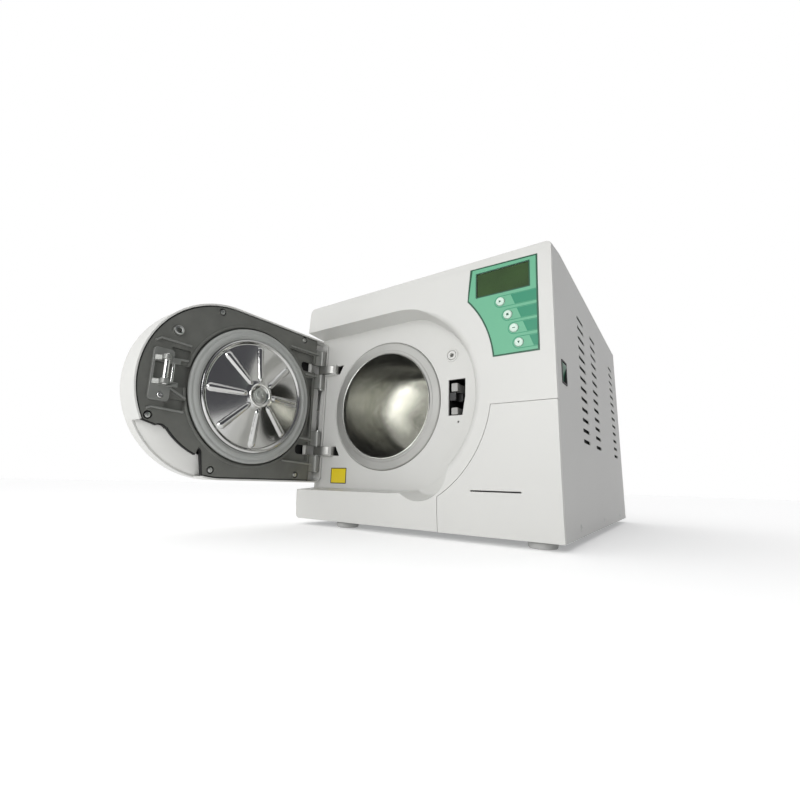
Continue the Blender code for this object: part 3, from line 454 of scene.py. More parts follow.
def fillet_path(front, back, depth, front_soft, back_soft, steps=7):
    """(radius, depth) along a recess wall: a soft lip, a straight wall and a soft foot."""
    lip = (front, -0.0003)
    foot = (back, depth)
    wall = Vector((foot[0] - lip[0], foot[1] - lip[1]))
    unit = wall.normalized()
    points = []
    for step in range(steps + 1):
        t = step / steps
        start = Vector((front + front_soft, -0.0003))
        end = Vector(lip) + unit * front_soft
        points.append(start * (1 - t) ** 2 + Vector(lip) * 2 * t * (1 - t) + end * t ** 2)
    for step in range(steps + 1):
        t = step / steps
        start = Vector(foot) - unit * back_soft
        end = Vector((back - back_soft, depth))
        points.append(start * (1 - t) ** 2 + Vector(foot) * 2 * t * (1 - t) + end * t ** 2)
    return points


def recess_cutter():
    """The door recess: a crisp lip at the left, and a softer one round the right end."""
    stations = [("top", x) for x in (-0.02, 0.05, 0.12)]
    stations += [("arc", 90 - 3.0 * step) for step in range(61)]
    stations += [("bottom", x) for x in (0.12, 0.05, -0.02)]
    columns = []
    for kind, value in stations:
        angle = {"top": 90.0, "bottom": -90.0}.get(kind, value)
        side = math.cos(math.radians(angle))
        up = math.sin(math.radians(angle))
        soft = blend(0.22, 0.86, side)
        swell = blend(0.0, 0.34, side) * (1 - blend(0.30, 0.62, side))
        front = 0.1440 + 0.0022 * swell + 0.0020 * soft
        back = 0.1404 + 0.0026 * swell - 0.0030 * blend(0.40, 1.0, side)
        path = fillet_path(front, back, 0.0418, 0.0009 + 0.0130 * soft, 0.0012 + 0.0020 * soft)
        middle = value if kind != "arc" else RECESS_X
        column = []
        for radius, depth in path:
            z = CZ + radius * up
            x = middle + radius * side
            y = -face_depth(z) * (1 - depth / 0.0418)
            column.append((x, y, z))
        lip = column[0]
        columns.append([(lip[0], -0.09, lip[2])] + column)
    rings = [list(ring) for ring in zip(*columns)]
    return loft(rings)


def scoop_cutter():
    """The finger scoop in the chin, below the recess."""
    centre = (0.247, 0.0873)
    rings = []
    path = fillet_path(0.0478, 0.0395, 0.0416, 0.0014, 0.0040)
    for index, (radius, depth) in enumerate([(path[0][0], None)] + [tuple(p) for p in path]):
        ring = []
        for x, z in circle(centre, radius, 72):
            y = -0.09 if depth is None else -face_depth(z) * (1 - depth / 0.0418)
            ring.append((x, y, z))
        rings.append(ring)
    return loft(rings)


def service_outline(grow=0.0):
    """The printer flap, whose left edge follows the round recess."""
    radius = 0.171 - grow
    top = 0.1697 + grow
    left = 0.2795 - grow
    start = math.degrees(math.asin((top - CZ) / radius))
    end = math.degrees(math.acos((left - RECESS_X) / radius))
    curve = arc((RECESS_X, CZ), radius, start, -end, 36)
    return [(left, -grow), (WIDTH + grow, -grow), (WIDTH + grow, top)] + curve


def overlay_outline(inset=0.0):
    """The control film: straight top and right sides, with a concave lower left side."""
    curve = arc((0.212, 0.222), 0.1523 + inset, 41.2 - 80 * inset, 4.6 + 300 * inset, 24)
    corners = [(0.4265 - inset, 0.2340 + inset), (0.4275 - inset, 0.3700 - inset),
               (0.3305 + inset * 1.6, 0.3725 - inset)]
    return corners + curve


def build_front():
    shell = prism([rounded(0.0, 0.0005, WIDTH, FRONT_TOP, 0.007)], "Y", -0.060, FRONT_BACK)
    shell = carve(shell, [face_prism()], "INTERSECT")
    tub = [(0.0, CZ + 0.1475), (0.0, CZ - 0.1475)] + arc((RECESS_X, CZ), 0.1500, -80, 80, 40)
    scoop = circle((0.247, 0.0873), 0.0515)
    shell = carve(shell, [prism([tub], "Y", -0.036, 0.003), prism([scoop], "Y", -0.036, 0.0029)],
                  "UNION")
    cutters = [
        recess_cutter(), scoop_cutter(),
        prism([service_outline(0.0005)], "Y", -0.08, -0.02),
        prism([circle((CX, CZ), FLANGE_OUTER + 0.0006, 128)], "Y", -0.02, 0.02),
        prism([arm_slot(1)], "Y", -0.02, 0.02), prism([arm_slot(-1)], "Y", -0.02, 0.02),
        prism([latch_outline()], "Y", -0.02, 0.02),
        prism([circle(LOCK, 0.0075, 32)], "Y", -0.02, 0.02),
        prism([circle((0.2920, 0.1560), 0.0016, 16)], "Y", -0.02, 0.02),
        prism([overlay_outline()], "Y", -0.08, -0.0358),
        block((DISPLAY[0] - 0.001, -0.08, DISPLAY[1] - 0.001),
              (DISPLAY[2] + 0.001, -0.02, DISPLAY[3] + 0.001)),
    ]
    cutters += [prism([circle(centre, 0.0063, 32)], "Y", -0.08, -0.02) for centre in BUTTONS]
    shell = carve(shell, cutters)
    add("front_moulding", shell, "moulded_white", nodes=("front_bezel",), edge=0.0007, angle=38)

    flap = prism([service_outline()], "Y", -0.060, FRONT_BACK)
    flap = carve(flap, [face_prism()], "INTERSECT")
    slot = rounded(0.3290, 0.0567 - 0.0009, 0.3970, 0.0567 + 0.0009, 0.0008, 3)
    flap = carve(flap, [prism([slot], "Y", -0.08, 0.0)])
    add("printer_flap", flap, "moulded_white", "service_flap", place=CASE, edge=0.0007,
        nodes=("service_door",), angle=38)


def arm_slot(sign):
    """The hole that an arm comes out of, with a slanted right end."""
    z = CZ + sign * ARM_RISE
    return [(0.0340, z - 0.0085), (0.0525 - sign * 0.0045, z - 0.0085),
            (0.0525 + sign * 0.0045, z + 0.0085), (0.0340, z + 0.0085)]


def latch_outline():
    """The latch window, with its right side cut in towards the foot."""
    return [(0.2755, LATCH_Z - 0.0285), (0.2988, LATCH_Z - 0.0285), (0.3036, LATCH_Z - 0.0010),
            (0.3040, LATCH_Z + 0.0275), (0.2755, LATCH_Z + 0.0275)]


def slant_x(z):
    """The slanting left edge of the ruled fields beside the keys."""
    return 0.3905 + 0.3742 * (0.3185 - z)


def build_overlay():
    """The printed film over the keys: border, ruled area, key capsules and the display's frame."""
    outer = overlay_outline(0.0003)
    base = prism([outer], "Y", -0.060, -0.0361)
    base = carve(base, [face_prism(-0.0361, 0.0003)], "INTERSECT")
    holes = [block((DISPLAY[0], -0.08, DISPLAY[1]), (DISPLAY[2], -0.02, DISPLAY[3]))]
    holes += [prism([circle(centre, 0.0063, 32)], "Y", -0.08, -0.02) for centre in BUTTONS]
    base = carve(base, holes)
    add("control_film", base, "mint_film", nodes=("control_overlay",))
    film("film_border", [outer, overlay_outline(0.0024)[::-1]], "film_border")

    end = KEY_BAND_END
    half = KEY_BAND_HALF
    inner = half - KEY_LINE
    for index, (x, z) in enumerate(BUTTONS):
        number = index + 1
        film(f"key_line_top_{number}",
             [[(x, z + inner), (end, z + inner), (end, z + half), (x, z + half)]], "film_hatch")
        film(f"key_line_round_{number}",
             [arc((x, z), half, 90, 270, 18) + arc((x, z), inner, 270, 90, 18)], "film_hatch")
        film(f"key_line_foot_{number}",
             [[(x, z - half), (end, z - half), (end, z - inner), (x, z - inner)]], "film_hatch")
        low, high = z - inner + 0.0004, z + inner - 0.0004
        film(f"ruled_field_{number}",
             [[(slant_x(low), low), (end, low), (end, high), (slant_x(high), high)]], "film_hatch")
    left, low, right, high = DISPLAY
    frame_outer = rounded(left - 0.0016, low - 0.0016, right + 0.0016, high + 0.0016, 0.001, 3)
    frame_inner = [(left, low), (left, high), (right, high), (right, low)]
    film("display_border", [frame_outer, frame_inner], "film_border")


def build_display():
    left, low, right, high = DISPLAY
    glass = prism([rounded(left + 0.0003, low + 0.0003, right - 0.0003, high - 0.0003, 0.0006, 2)],
                  "Y", -0.0386, -0.0272)
    add("display_window", glass, "display", nodes=("display_module",), edge=0.0004)
    for index, centre in enumerate(BUTTONS):
        r = 0.0058
        cap = [(r, -0.0300), (r, -0.0424), (r - 0.0003, -0.0429), (r - 0.0010, -0.0432),
               (r - 0.0016, -0.0430), (r - 0.0022, -0.0427), (0.0005, -0.04275)]
        add(f"key_cap_{index + 1}", drum(cap, centre, 48), "pale_button", f"key_{index + 1}",
            place=CASE, nodes=(f"button_{index + 1}",))
        x, z = centre
        marks = [[(x - 0.0016, z - 0.0018), (x + 0.0020, z), (x - 0.0016, z + 0.0018)],
                 [(x - 0.0016, z - 0.0016), (x + 0.0016, z - 0.0016), (x + 0.0016, z + 0.0016),
                  (x - 0.0016, z + 0.0016)],
                 [(x - 0.0020, z - 0.0005), (x + 0.0020, z - 0.0005), (x + 0.0020, z + 0.0005),
                  (x - 0.0020, z + 0.0005)],
                 [(x - 0.0018, z + 0.0014), (x, z - 0.0018), (x + 0.0018, z + 0.0014)]]
        add(f"key_mark_{index + 1}", prism([marks[index]], "Y", -0.0429, -0.0425), "film_border",
            f"key_{index + 1}", place=CASE)


# Casing

def build_casing():
    bend = 0.005
    right, left = (WIDTH - bend, TOP - bend), (bend, TOP - bend)
    outer = arc(right, bend, 0, 90, 10) + arc(left, bend, 90, 180, 10)
    inner = arc(left, bend - SHEET, 180, 90, 10) + arc(right, bend - SHEET, 90, 0, 10)
    outline = [(WIDTH, 0.0)] + outer + [(0.0, 0.0), (SHEET, 0.0)] + inner + [(WIDTH - SHEET, 0.0)]
    mesh = prism([outline], "Y", -0.0322, REAR)
    body = bmesh.new()
    body.from_mesh(mesh)
    for cut in (0.0120, 0.0135):
        bmesh.ops.bisect_plane(body, geom=body.verts[:] + body.edges[:] + body.faces[:],
                               plane_co=(0.0, cut, 0.0), plane_no=(0.0, 1.0, 0.0))
    for vertex in body.verts:
        if vertex.co.z > TOP / 2:
            vertex.co.z -= 0.0062 * (1 - min(1.0, max(0.0, (vertex.co.y + 0.0322) / 0.0442)))
    mesh = mesh_of(body)
    slots = []
    for column in (0.134, 0.242, 0.461):
        for row in range(13):
            z = 0.3304 - 0.01641 * row
            slots.append(prism([rounded(column - 0.025, z - 0.0029, column + 0.025, z + 0.0029,
                                        0.0028, 5)], "X", -0.01, WIDTH + 0.01))
    cutters = [merged(slots),
               block((0.302, 0.300, TOP - 0.01), (0.408, 0.392, TOP + 0.01)),
               block((-0.01, -0.05, CZ - 0.1468), (0.01, 0.0033, CZ + 0.1468)),
               block((WIDTH - 0.01, ROCKER[1] - 0.0135, ROCKER[2] - 0.0160),
                     (WIDTH + 0.01, ROCKER[1] + 0.0135, ROCKER[2] + 0.0160))]
    screws = ((0.054, 0.013), (0.248, 0.012), (0.450, 0.009))
    cutters.append(merged([prism([circle(spot, 0.0052, 24)], "X", -0.01, WIDTH + 0.01)
                           for spot in screws]))
    mesh = carve(mesh, cutters)
    add("cover", mesh, "painted_steel", nodes=("outer_cover",), edge=0.00045, segments=2, angle=50)
    for index, (y, z) in enumerate(screws):
        for side, start, sign in (("right", WIDTH, 1), ("left", 0.0, -1)):
            cup = [(0.0049, start - sign * 0.0022), (0.0049, start - sign * 0.0004),
                   (0.0043, start), (0.0030, start + sign * 0.0006),
                   (0.0004, start + sign * 0.0008)]
            head = drum(cup, (y, z), 32, "X")
            low, high = sorted((start - sign * 0.0009, start + sign * 0.002))
            slots = [block((low, y - 0.0022, z - 0.0004), (high, y + 0.0022, z + 0.0004)),
                     block((low, y - 0.0004, z - 0.0022), (high, y + 0.0004, z + 0.0022))]
            add(f"side_screw_{side}_{index + 1}", carve(head, slots), "satin_steel")
    for end, y in (("front", -0.014), ("rear", 0.330)):
        for side, x in (("left", 0.098), ("right", 0.413)):
            profile = [(0.0160, -0.0003), (0.0178, -0.0012), (0.0180, -0.0030), (0.0176, -0.0072),
                       (0.0164, -0.0086), (0.0146, -0.0090), (0.0070, -0.0090), (0.0062, -0.0080),
                       (0.0005, -0.0080)]
            add(f"foot_pad_{end}_{side}", drum(profile, (x, y), 56, "Z"), "rubber",
                nodes=(f"foot_{end}_{side}",))


def build_switch():
    side = WIDTH
    x, y, z = ROCKER
    frame_mesh = prism([rounded(y - 0.0132, z - 0.0157, y + 0.0132, z + 0.0157, 0.0015),
                        rounded(y - 0.0112, z - 0.0140, y + 0.0112, z + 0.0140, 0.0008)[::-1]],
                       "X", side - 0.0180, side + 0.0007)
    back = block((side - 0.0240, y - 0.0132, z - 0.0157), (side - 0.0178, y + 0.0132, z + 0.0157))
    add("switch_frame", carve(frame_mesh, [back], "UNION"), "black_plastic",
        nodes=("rocker_housing",), edge=0.0003)
    half = 0.0128
    outline = ([(-0.0105, -0.0030), (0.0016, -half), (0.0022, -half), (0.0030, -half * 0.80)]
               + [(0.0030 - 0.0006 * math.sin(math.pi * k / 8), -half * 0.8 + half * 0.8 * 2 * k / 8)
                  for k in range(1, 8)]
               + [(0.0030, half * 0.80), (0.0022, half), (0.0016, half), (-0.0105, 0.0030)])
    lever = prism([outline], "Y", -0.0108, 0.0108)
    lever.transform(Matrix.Translation(ROCKER) @ Matrix.Rotation(math.radians(11.0), 4, "Y"))
    add("rocker_cap", lever, "green_rocker", "rocker", place=CASE, nodes=("power_rocker",),
        edge=0.0006, segments=3)


def build_trim():
    """A plain sticker in the recess, and black sheets behind the side vents, which paint the shade
    seen through the slots.
    """
    sticker = prism([rounded(0.0410, 0.0610, 0.0760, 0.0870, 0.0010, 3)], "Y", -0.0003, -0.0001)
    add("sticker", sticker, "sticker")
    edge = prism([rounded(0.0404, 0.0604, 0.0766, 0.0876, 0.0012, 3),
                  rounded(0.0418, 0.0618, 0.0752, 0.0862, 0.0008, 3)[::-1]], "Y", -0.0005, -0.0001)
    add("sticker_edge", edge, "dark_steel")
    # Black sheets just inside the sides: painted shade behind the vent slots.
    for side, x in (("right", WIDTH - 0.0052), ("left", 0.0042)):
        sheet = block((x, 0.098, 0.120), (x + 0.001, 0.500, 0.345))
        add(f"vent_shade_sheet_{side}", sheet, "deep_black", edge=0.0003)


# Chamber, latch and arms

def build_chamber():
    centre = (CX, CZ)
    outer = 0.0913
    flange = [(FLANGE_OUTER, 0.0120), (FLANGE_OUTER, FLANGE_FACE + 0.0012),
              (FLANGE_OUTER - 0.0012, FLANGE_FACE), (0.1078, FLANGE_FACE), (0.1070, -0.0009),
              (0.0960, -0.0009), (0.0952, FLANGE_FACE), (outer, FLANGE_FACE), (outer, 0.0120)]
    add("mouth_flange", lathe(flange, centre, 160), "flange_steel",
        nodes=("chamber_flange",), angle=20)
    vessel = [(0.0910, 0.3230), (0.0910, FLANGE_FACE - 0.0003), (0.0904, FLANGE_FACE - 0.0008),
              (0.0892, FLANGE_FACE - 0.0006), (0.0884, 0.0015), (0.0880, 0.0060),
              (0.0880, 0.290), (0.0872, 0.300), (0.0840, 0.310), (0.0780, 0.3160),
              (0.0680, 0.3190), (0.0005, 0.3200)]
    rings = []
    for r, along in [(0.0005, 0.3230)] + vessel:
        rings.append([(x, along, z) for x, z in circle(centre, r, 128)])
    mesh = loft(rings)
    add("chamber_shell", mesh, "chamber_steel", nodes=("chamber_vessel",),
        angle=40)
    port = drum([(0.0075, CZ - 0.0878), (0.0075, CZ - 0.0850), (0.0060, CZ - 0.0838),
                 (0.0005, CZ - 0.0838)], (CX + 0.010, 0.030), 32, "Z")
    add("drain_strainer", port, "bright_steel")


def build_latch():
    z = LATCH_Z
    body = block((0.2722, 0.0033, z - 0.0340), (0.3085, 0.0560, z + 0.0340))
    body = carve(body, [block((0.2740, 0.0, z - 0.0300), (0.3065, 0.0540, z + 0.0300))])
    add("latch_housing", body, "black_plastic", nodes=("latch_frame",),
        edge=0.0004)
    for name, low, high in (("upper", 0.2034, 0.2162), ("lower", 0.1676, 0.1783)):
        guide = prism([rounded(0.2800, low, 0.2904, high, 0.0012, 3)], "Y", 0.0010, 0.0250)
        add(f"latch_guide_{name}", guide, "guide_grey", edge=0.0005)
    jaw = block((0.2766, 0.0015, 0.1892), (0.2925, 0.0250, 0.2026))
    jaw = carve(jaw, [block((0.2792, 0.0044, 0.17), (0.30, 0.0150, 0.22)),
                      block((0.2875, -0.01, 0.17), (0.30, 0.0105, 0.22))])
    shaft = drum([(0.0050, 0.1850), (0.0050, 0.2030)], (0.2975, 0.0440), 24, "Z")
    add("latch_spindle", shaft, "satin_steel")
    add("latch_hook", jaw, "dark_steel", "jaw", place=CASE,
        nodes=("latch_jaw",), edge=0.0016, segments=3)

    boss = [(0.0075, 0.0), (0.0078, -0.0012), (0.0084, -0.0017), (0.0092, -0.0017),
            (0.0102, -0.0012), (0.0108, 0.0004), (0.0075, 0.0004)]
    add("lock_boss", lathe(boss, LOCK, 48), "moulded_white")
    sleeve = [(0.0110, 0.0560), (0.0110, 0.0304), (0.0071, 0.0304), (0.0071, FLANGE_FACE + 0.0005),
              (0.0066, FLANGE_FACE), (0.0038, FLANGE_FACE), (0.0032, FLANGE_FACE + 0.0006),
              (0.0032, 0.0560)]
    add("interlock_sleeve", lathe(sleeve, LOCK, 40), "moulded_white",
        nodes=("lock_sleeve",))
    tip = drum([(0.0006, 0.0500), (0.0028, 0.0500), (0.0028, 0.0052), (0.0020, 0.0044),
                (0.0006, 0.0042)], LOCK, 32)
    add("interlock_pin", tip, "satin_steel", "bolt", place=CASE, nodes=("lock_pin",))


def build_arms():
    for word, sign in (("upper", 1), ("lower", -1)):
        middle = CZ + sign * ARM_RISE
        outline = ([(0.0450, 0.0260), (0.0390, 0.0260), (0.0390, 0.0050), (0.0340, -0.0010)]
                   + arc((HINGE.x, HINGE.y), BARREL, 80, 285, 24)
                   + [(0.0240, -0.0155), (0.0330, -0.0130), (0.0390, -0.0098), (0.0426, -0.0058),
                      (0.0444, -0.0015), (0.0450, 0.0040)])
        mesh = prism([outline[::-1], circle((HINGE.x, HINGE.y), 0.0038, 24)], "Z",
                     middle - 0.0075, middle + 0.0075)
        add(f"door_arm_{word}", mesh, "arm_steel", edge=0.0006,
            nodes=(f"hinge_arm_{word}",), segments=3, angle=40)


# Door

def door_outline(inset, corner, steps=64):
    """The door: a half-round free end and two corners at the hinge."""
    radius = DOOR_HALF - inset
    left = 0.0020 + inset
    return (arc(DOOR_END, radius, -90, 90, steps)
            + arc((left + corner, CZ + radius - corner), corner, 90, 180, 8)
            + arc((left + corner, CZ - radius + corner), corner, 180, 270, 8))


def plate_outline(inset=0.0):
    """The inner plate, cut away round the grip."""
    radius = DOOR_HALF - 0.0038 - inset
    bottom = arc(DOOR_END, radius, -90, -77 - 250 * inset, 6)
    corner_low = arc((0.2360 - inset * 0.3, 0.0975), 0.0080 + inset, 180, 111, 8)
    grip = arc(DOOR_END, 0.1060 - inset, -67, -37, 16)
    corner_high = arc((0.2870, 0.1210 + inset * 0.3), 0.0100 + inset, 145, 62, 8)
    rest = arc(DOOR_END, radius, -27 + 250 * inset, 90, 48)
    left = PLATE_LEFT + inset
    return (bottom + corner_low + grip + corner_high + rest
            + [(left, CZ + radius), (left, CZ - radius)])


def strip(path, width, start, end):
    """A rib that follows a path, with square ends."""
    left, right = [], []
    for index, point in enumerate(path):
        before = Vector(path[max(0, index - 1)])
        after = Vector(path[min(len(path) - 1, index + 1)])
        side = (after - before).normalized().orthogonal() * width / 2
        left.append(tuple(Vector(point) + side))
        right.append(tuple(Vector(point) - side))
    return prism([left + right[::-1]], "Y", start, end)


def build_shell():
    rings = []
    rounding = 0.016
    face, rim = -0.0620, -0.0065
    profile = [(0.0, rim)] + [(0.0, -0.030)]
    for step in range(0, 9):
        angle = math.radians(90 * step / 8)
        profile.append((rounding * (1 - math.cos(angle)), face + rounding * (1 - math.sin(angle))))
    for inset, along in profile:
        rings.append([(x, along, z) for x, z in door_outline(inset, max(0.002, 0.012 - inset * 0.6))])
    outer = loft(rings)
    inner_rings = []
    for inset, along in ((0.0, 0.02), (0.0, -0.030), (0.0, -0.048), (0.004, -0.055),
                         (0.012, -0.059)):
        inner_rings.append([(x, along, z) for x, z in
                            door_outline(0.0026 + inset, max(0.002, 0.0094 - inset * 0.5))])
    cutters = [loft(inner_rings)]
    for sign in (-1, 1):
        middle = CZ + sign * ARM_RISE
        cutters.append(block((-0.01, -0.0300, middle - 0.0095), (0.012, 0.02, middle + 0.0095)))
    grip_gap = arc(DOOR_END, 0.14, -77.5, -26.5, 30) + arc(DOOR_END, 0.12, -26.5, -77.5, 30)
    cutters.append(prism([grip_gap], "Y", -0.0305, 0.02))
    add("door_cover", carve(outer, cutters), "moulded_white", "door", nodes=("door_shell",),
        edge=0.0008, angle=40, segments=3)
    section = ([(0.0400, -0.0150), (0.0340, -0.0152)]
               + arc((0.0180, -0.0085), 0.0165, -30, -165, 16) + [(0.0052, -0.0080)])
    wall = 0.0016
    thick = ([(0.0400, -0.0150 - wall), (0.0330, -0.0152 - wall)]
             + arc((0.0180, -0.0085), 0.0165 + wall, -30, -160, 16))
    trough = prism([section + thick[::-1]], "Z", CZ - DOOR_HALF + 0.0035, CZ + DOOR_HALF - 0.0035)
    notches = [block((-0.01, -0.0300, CZ + sign * ARM_RISE - 0.0095),
                     (0.0075, 0.02, CZ + sign * ARM_RISE + 0.0095)) for sign in (-1, 1)]
    add("hinge_trough", carve(trough, notches), "moulded_white", "door", angle=40)
    section = ((0.1035, -0.0145), (0.1035, -0.0185), (0.1180, -0.0245), (0.1292, -0.0345),
               (0.1300, -0.0320), (0.1250, -0.0262), (0.1160, -0.0196), (0.1080, -0.0160))
    rings = []
    for step in range(37):
        angle = math.radians(-80 + 56 * step / 36)
        c, s = math.cos(angle), math.sin(angle)
        rings.append([(DOOR_END[0] + r * c, along, DOOR_END[1] + r * s)
                      for r, along in section])
    add("grip_surface", loft(rings), "moulded_white", "door", nodes=("grip_cup",), angle=40)


def mm(points):
    """Millimetres from the chamber's centre, in the case's frame in metres."""
    return [(CX + u / 1000, CZ + w / 1000) for u, w in points]


def build_door_plate():
    centre = (CX, CZ)
    plate = prism([plate_outline(0.0007), circle(centre, 0.0902, 128)[::-1]], "Y", PLATE_BACK,
                  PLATE_FRONT)
    rim = lathe([(0.1128, PLATE_FRONT - 0.001), (0.1128, -0.0068), (0.1120, -0.0062),
                 (0.1098, -0.0062), (0.1090, -0.0068), (0.1090, PLATE_FRONT - 0.001)], centre, 128)
    reach = 0.1145
    pockets = [arc(centre, reach, 121, 146, 12) + mm([(-117, 65), (-117, 98)]),
               arc(centre, reach, 152, 207, 24) + mm([(-117, -53), (-117, 56)]),
               arc(centre, reach, 214, 237, 12) + mm([(-117, -96), (-117, -61)]),
               rounded(CX + 0.107, CZ - 0.009, CX + 0.1262, CZ + 0.022, 0.0015, 3),
               rounded(CX + 0.107, CZ + 0.0305, CX + 0.133, CZ + 0.0440, 0.0012, 3),
               rounded(CX + 0.107, CZ - 0.0400, CX + 0.134, CZ - 0.0265, 0.0012, 3)]
    cutters = [prism([outline], "Y", PLATE_BACK + 0.0008, 0.01) for outline in pockets]
    for sign in (-1, 1):
        middle = CZ + sign * ARM_RISE
        cutters.append(prism([rounded(0.0200, middle - 0.0082, 0.0595, middle + 0.0082, 0.0060)],
                             "Y", -0.05, 0.02))
    for u, w in SCREWS:
        cutters.append(prism([circle(mm([(u, w)])[0], 0.0056, 32)], "Y", -0.0115, 0.01))
    gap = [(0.1089, -0.0125), (0.1089, 0.01), (0.1065, 0.01), (0.1065, -0.0125)]
    cutters.append(lathe(gap, centre, 128))
    plate = carve(carve(plate, [rim], "UNION"), cutters)
    add("inner_plate", plate, "cast_aluminium", "door", nodes=("door_plate",), edge=0.0005,
        angle=35)

    ribs = []
    for path in (((155, 47), (149, 52), (108, 51)), ((155, -44), (150, -41), (108, -43)),
                 ((108, -24), (130, -13)), ((110, 29), (131, 27))):
        ribs.append(strip(mm(path), 0.0028, PLATE_FRONT - 0.004, -0.0046))
    for path in (((-62, 102), (-128, 103)), ((-99, 60), (-128, 60)), ((-94, -56), (-128, -58)),
                 ((-62, -97), (-128, -101))):
        ribs.append(strip(mm(path), 0.0030, PLATE_FRONT - 0.0055, -0.0058))
    # The ribs take the lighter cast colour as painted light on their lit tops.
    add("plate_ribs", merged(ribs), "cast_painted_lighter", "door", edge=0.0006)
    axis = (HINGE.x, HINGE.y)
    lugs = []
    for sign in (-1, 1):
        for near, far in ((0.0840, 0.1130), (0.0400, 0.0670)):
            low = CZ + min(sign * near, sign * far)
            high = CZ + max(sign * near, sign * far)
            lug = ([(0.0325, -0.0172), (0.0325, -0.0128), (0.0200, -0.0112)]
                   + arc(axis, BARREL, 20, 270, 22) + [(0.0180, -0.0172)])
            lugs.append(prism([lug[::-1], circle(axis, 0.0038, 24)], "Z", low, high))
    # The lugs are the plate's own colour; the lighter cast colour here is painted light.
    add("hinge_lugs", merged(lugs), "cast_painted_lighter", "door", edge=0.0005,
        angle=35)
    # A black band round the plate's edge: painted shade in the gap between the plate and the door's
    # shell.
    gap_shade = prism([plate_outline(-0.0008), plate_outline(0.0009)[::-1]], "Y", PLATE_BACK,
                   PLATE_FRONT - 0.0008)
    breaks = [block((0.02, -0.02, CZ + sign * ARM_RISE - 0.0090),
                    (0.04, 0.0, CZ + sign * ARM_RISE + 0.0090)) for sign in (-1, 1)]
    add("plate_gap_shade", carve(gap_shade, breaks), "deep_black", "door")
    # Black discs at the bottom of the screw counterbores: painted shade in the wells.
    well_shades = [prism([circle(mm([spot])[0], 0.0055, 32)], "Y", -0.0114, -0.0110) for spot in SCREWS]
    add("screw_well_shade", merged(well_shades), "deep_black", "door")
    # Black cups behind the arm keyholes: painted shade inside the holes.
    shade_cups = [block((0.0350, -0.0230, CZ + sign * ARM_RISE - 0.0105),
                  (0.0615, PLATE_BACK - 0.0003, CZ + sign * ARM_RISE + 0.0105))
            for sign in (-1, 1)]
    shade_cups = carve(merged(shade_cups), [block((0.0300, -0.0215, CZ + sign * ARM_RISE - 0.0095),
                                      (0.0605, 0.0, CZ + sign * ARM_RISE + 0.0095))
                                for sign in (-1, 1)])
    add("keyhole_shade_cups", shade_cups, "deep_black", "door")
    for index, (u, w) in enumerate(SCREWS):
        x, z = mm([(u, w)])[0]
        head = drum([(0.0038, -0.0109), (0.0038, -0.0090), (0.0034, -0.0084), (0.0022, -0.0081),
                     (0.0004, -0.0080)], (x, z), 36)
        head = carve(head, cross((x, z), 0.0024, 0.0005, -0.0095, 0.0))
        add(f"plate_screw_{index + 1}", head, "satin_steel", "door")


def build_dish():
    """The pressure dish: a shallow cone with eight pressed beads, from its hub to its rim."""
    centre = (CX, CZ)
    ring = [(0.1062, PLATE_FRONT + 0.0003), (0.1062, -0.0044), (0.1054, -0.0034),
            (0.1040, -0.0029), (0.1022, -0.0029), (0.1012, -0.0034), (0.1002, -0.0034),
            (0.0992, -0.0026), (0.0972, -0.0022), (0.0950, -0.0022), (0.0934, -0.0028),
            (0.0926, -0.0040), (0.0918, -0.0046), (0.0905, -0.0046), (0.0902, PLATE_FRONT + 0.0003)]
    add("door_seal", lathe(ring[::-1], centre, 160), "silicone", "door", nodes=("seal_ring",),
        angle=50)
    around = 480
    radii = [0.0066, 0.0100, 0.0125, 0.0135, 0.0150, 0.0178, 0.0190, 0.0200, 0.0215, 0.0235,
             0.0260, 0.0290]
    radii += [0.0310 + 0.0020 * step for step in range(20)]
    radii += [0.0700 + 0.0009 * step for step in range(13)]
    radii += [0.0815, 0.0828, 0.0838, 0.0850, 0.0862, 0.0872, 0.0885, 0.0893, 0.0895]

    def height(r, angle):
        if r < 0.0130:
            base = 0.0060
        elif r < 0.0185:
            base = 0.0060 + 0.0012 * math.sin(math.pi * (r - 0.0130) / 0.0055)
        elif r < 0.024:
            base = 0.0060 - 0.0014 * blend(0.0185, 0.024, r)
        else:
            base = 0.0046 - 0.0092 * (r - 0.024) / 0.059
        if r > 0.0828:
            base = -0.0046 + 0.0026 * blend(0.0828, 0.0862, r) - 0.0018 * blend(0.0872, 0.0895, r)
        turn = (math.degrees(angle) + 22.5) % 45 - 22.5
        across = r * math.radians(turn)
        inner, outer = 0.0270, 0.0755
        half = 0.0042 + 0.0014 * (r - inner) / (outer - inner)
        along = 0.0 if inner < r < outer else (inner - r if r < inner else r - outer)
        reach = math.hypot(across, along) / half
        if reach < 1.0:
            base += 0.0034 * math.sqrt(1 - reach ** 2) ** 1.2
        return base

    rings = []
    for r in radii:
        row = []
        for step in range(around):
            angle = 2 * math.pi * step / around
            row.append((CX + r * math.cos(angle), height(r, angle), CZ + r * math.sin(angle)))
        rings.append(row)
    for r, along in ((0.0895, -0.0155), (0.0870, -0.0155), (0.0850, -0.0075), (0.0240, 0.0030),
                     (0.0066, 0.0030)):
        rings.append([(x, along, z) for x, z in circle(centre, r, around)])
    dish = loft(rings, closed=True)
    add("dish", dish, "dish_steel", "door", nodes=("pressure_dish",),
        angle=60)
    bolt = drum([(0.0060, -0.0277), (0.0060, 0.0062), (0.0112, 0.0062), (0.0116, 0.0068),
                 (0.0112, 0.0076), (0.0080, 0.0078), (0.0076, 0.0088), (0.0068, 0.0092),
                 (0.0036, 0.0092), (0.0034, 0.0080), (0.0004, 0.0080)], centre, 48)
    add("hub", bolt, "satin_steel", "door", nodes=("hub_bolt",), angle=30)
    crown = [(0.0186, 0.0058), (0.0188, 0.0070), (0.0180, 0.0078), (0.0168, 0.0078),
             (0.0160, 0.0070), (0.0158, 0.0058)]
    add("hub_ring", lathe(crown, centre, 96), "bright_steel", "door")


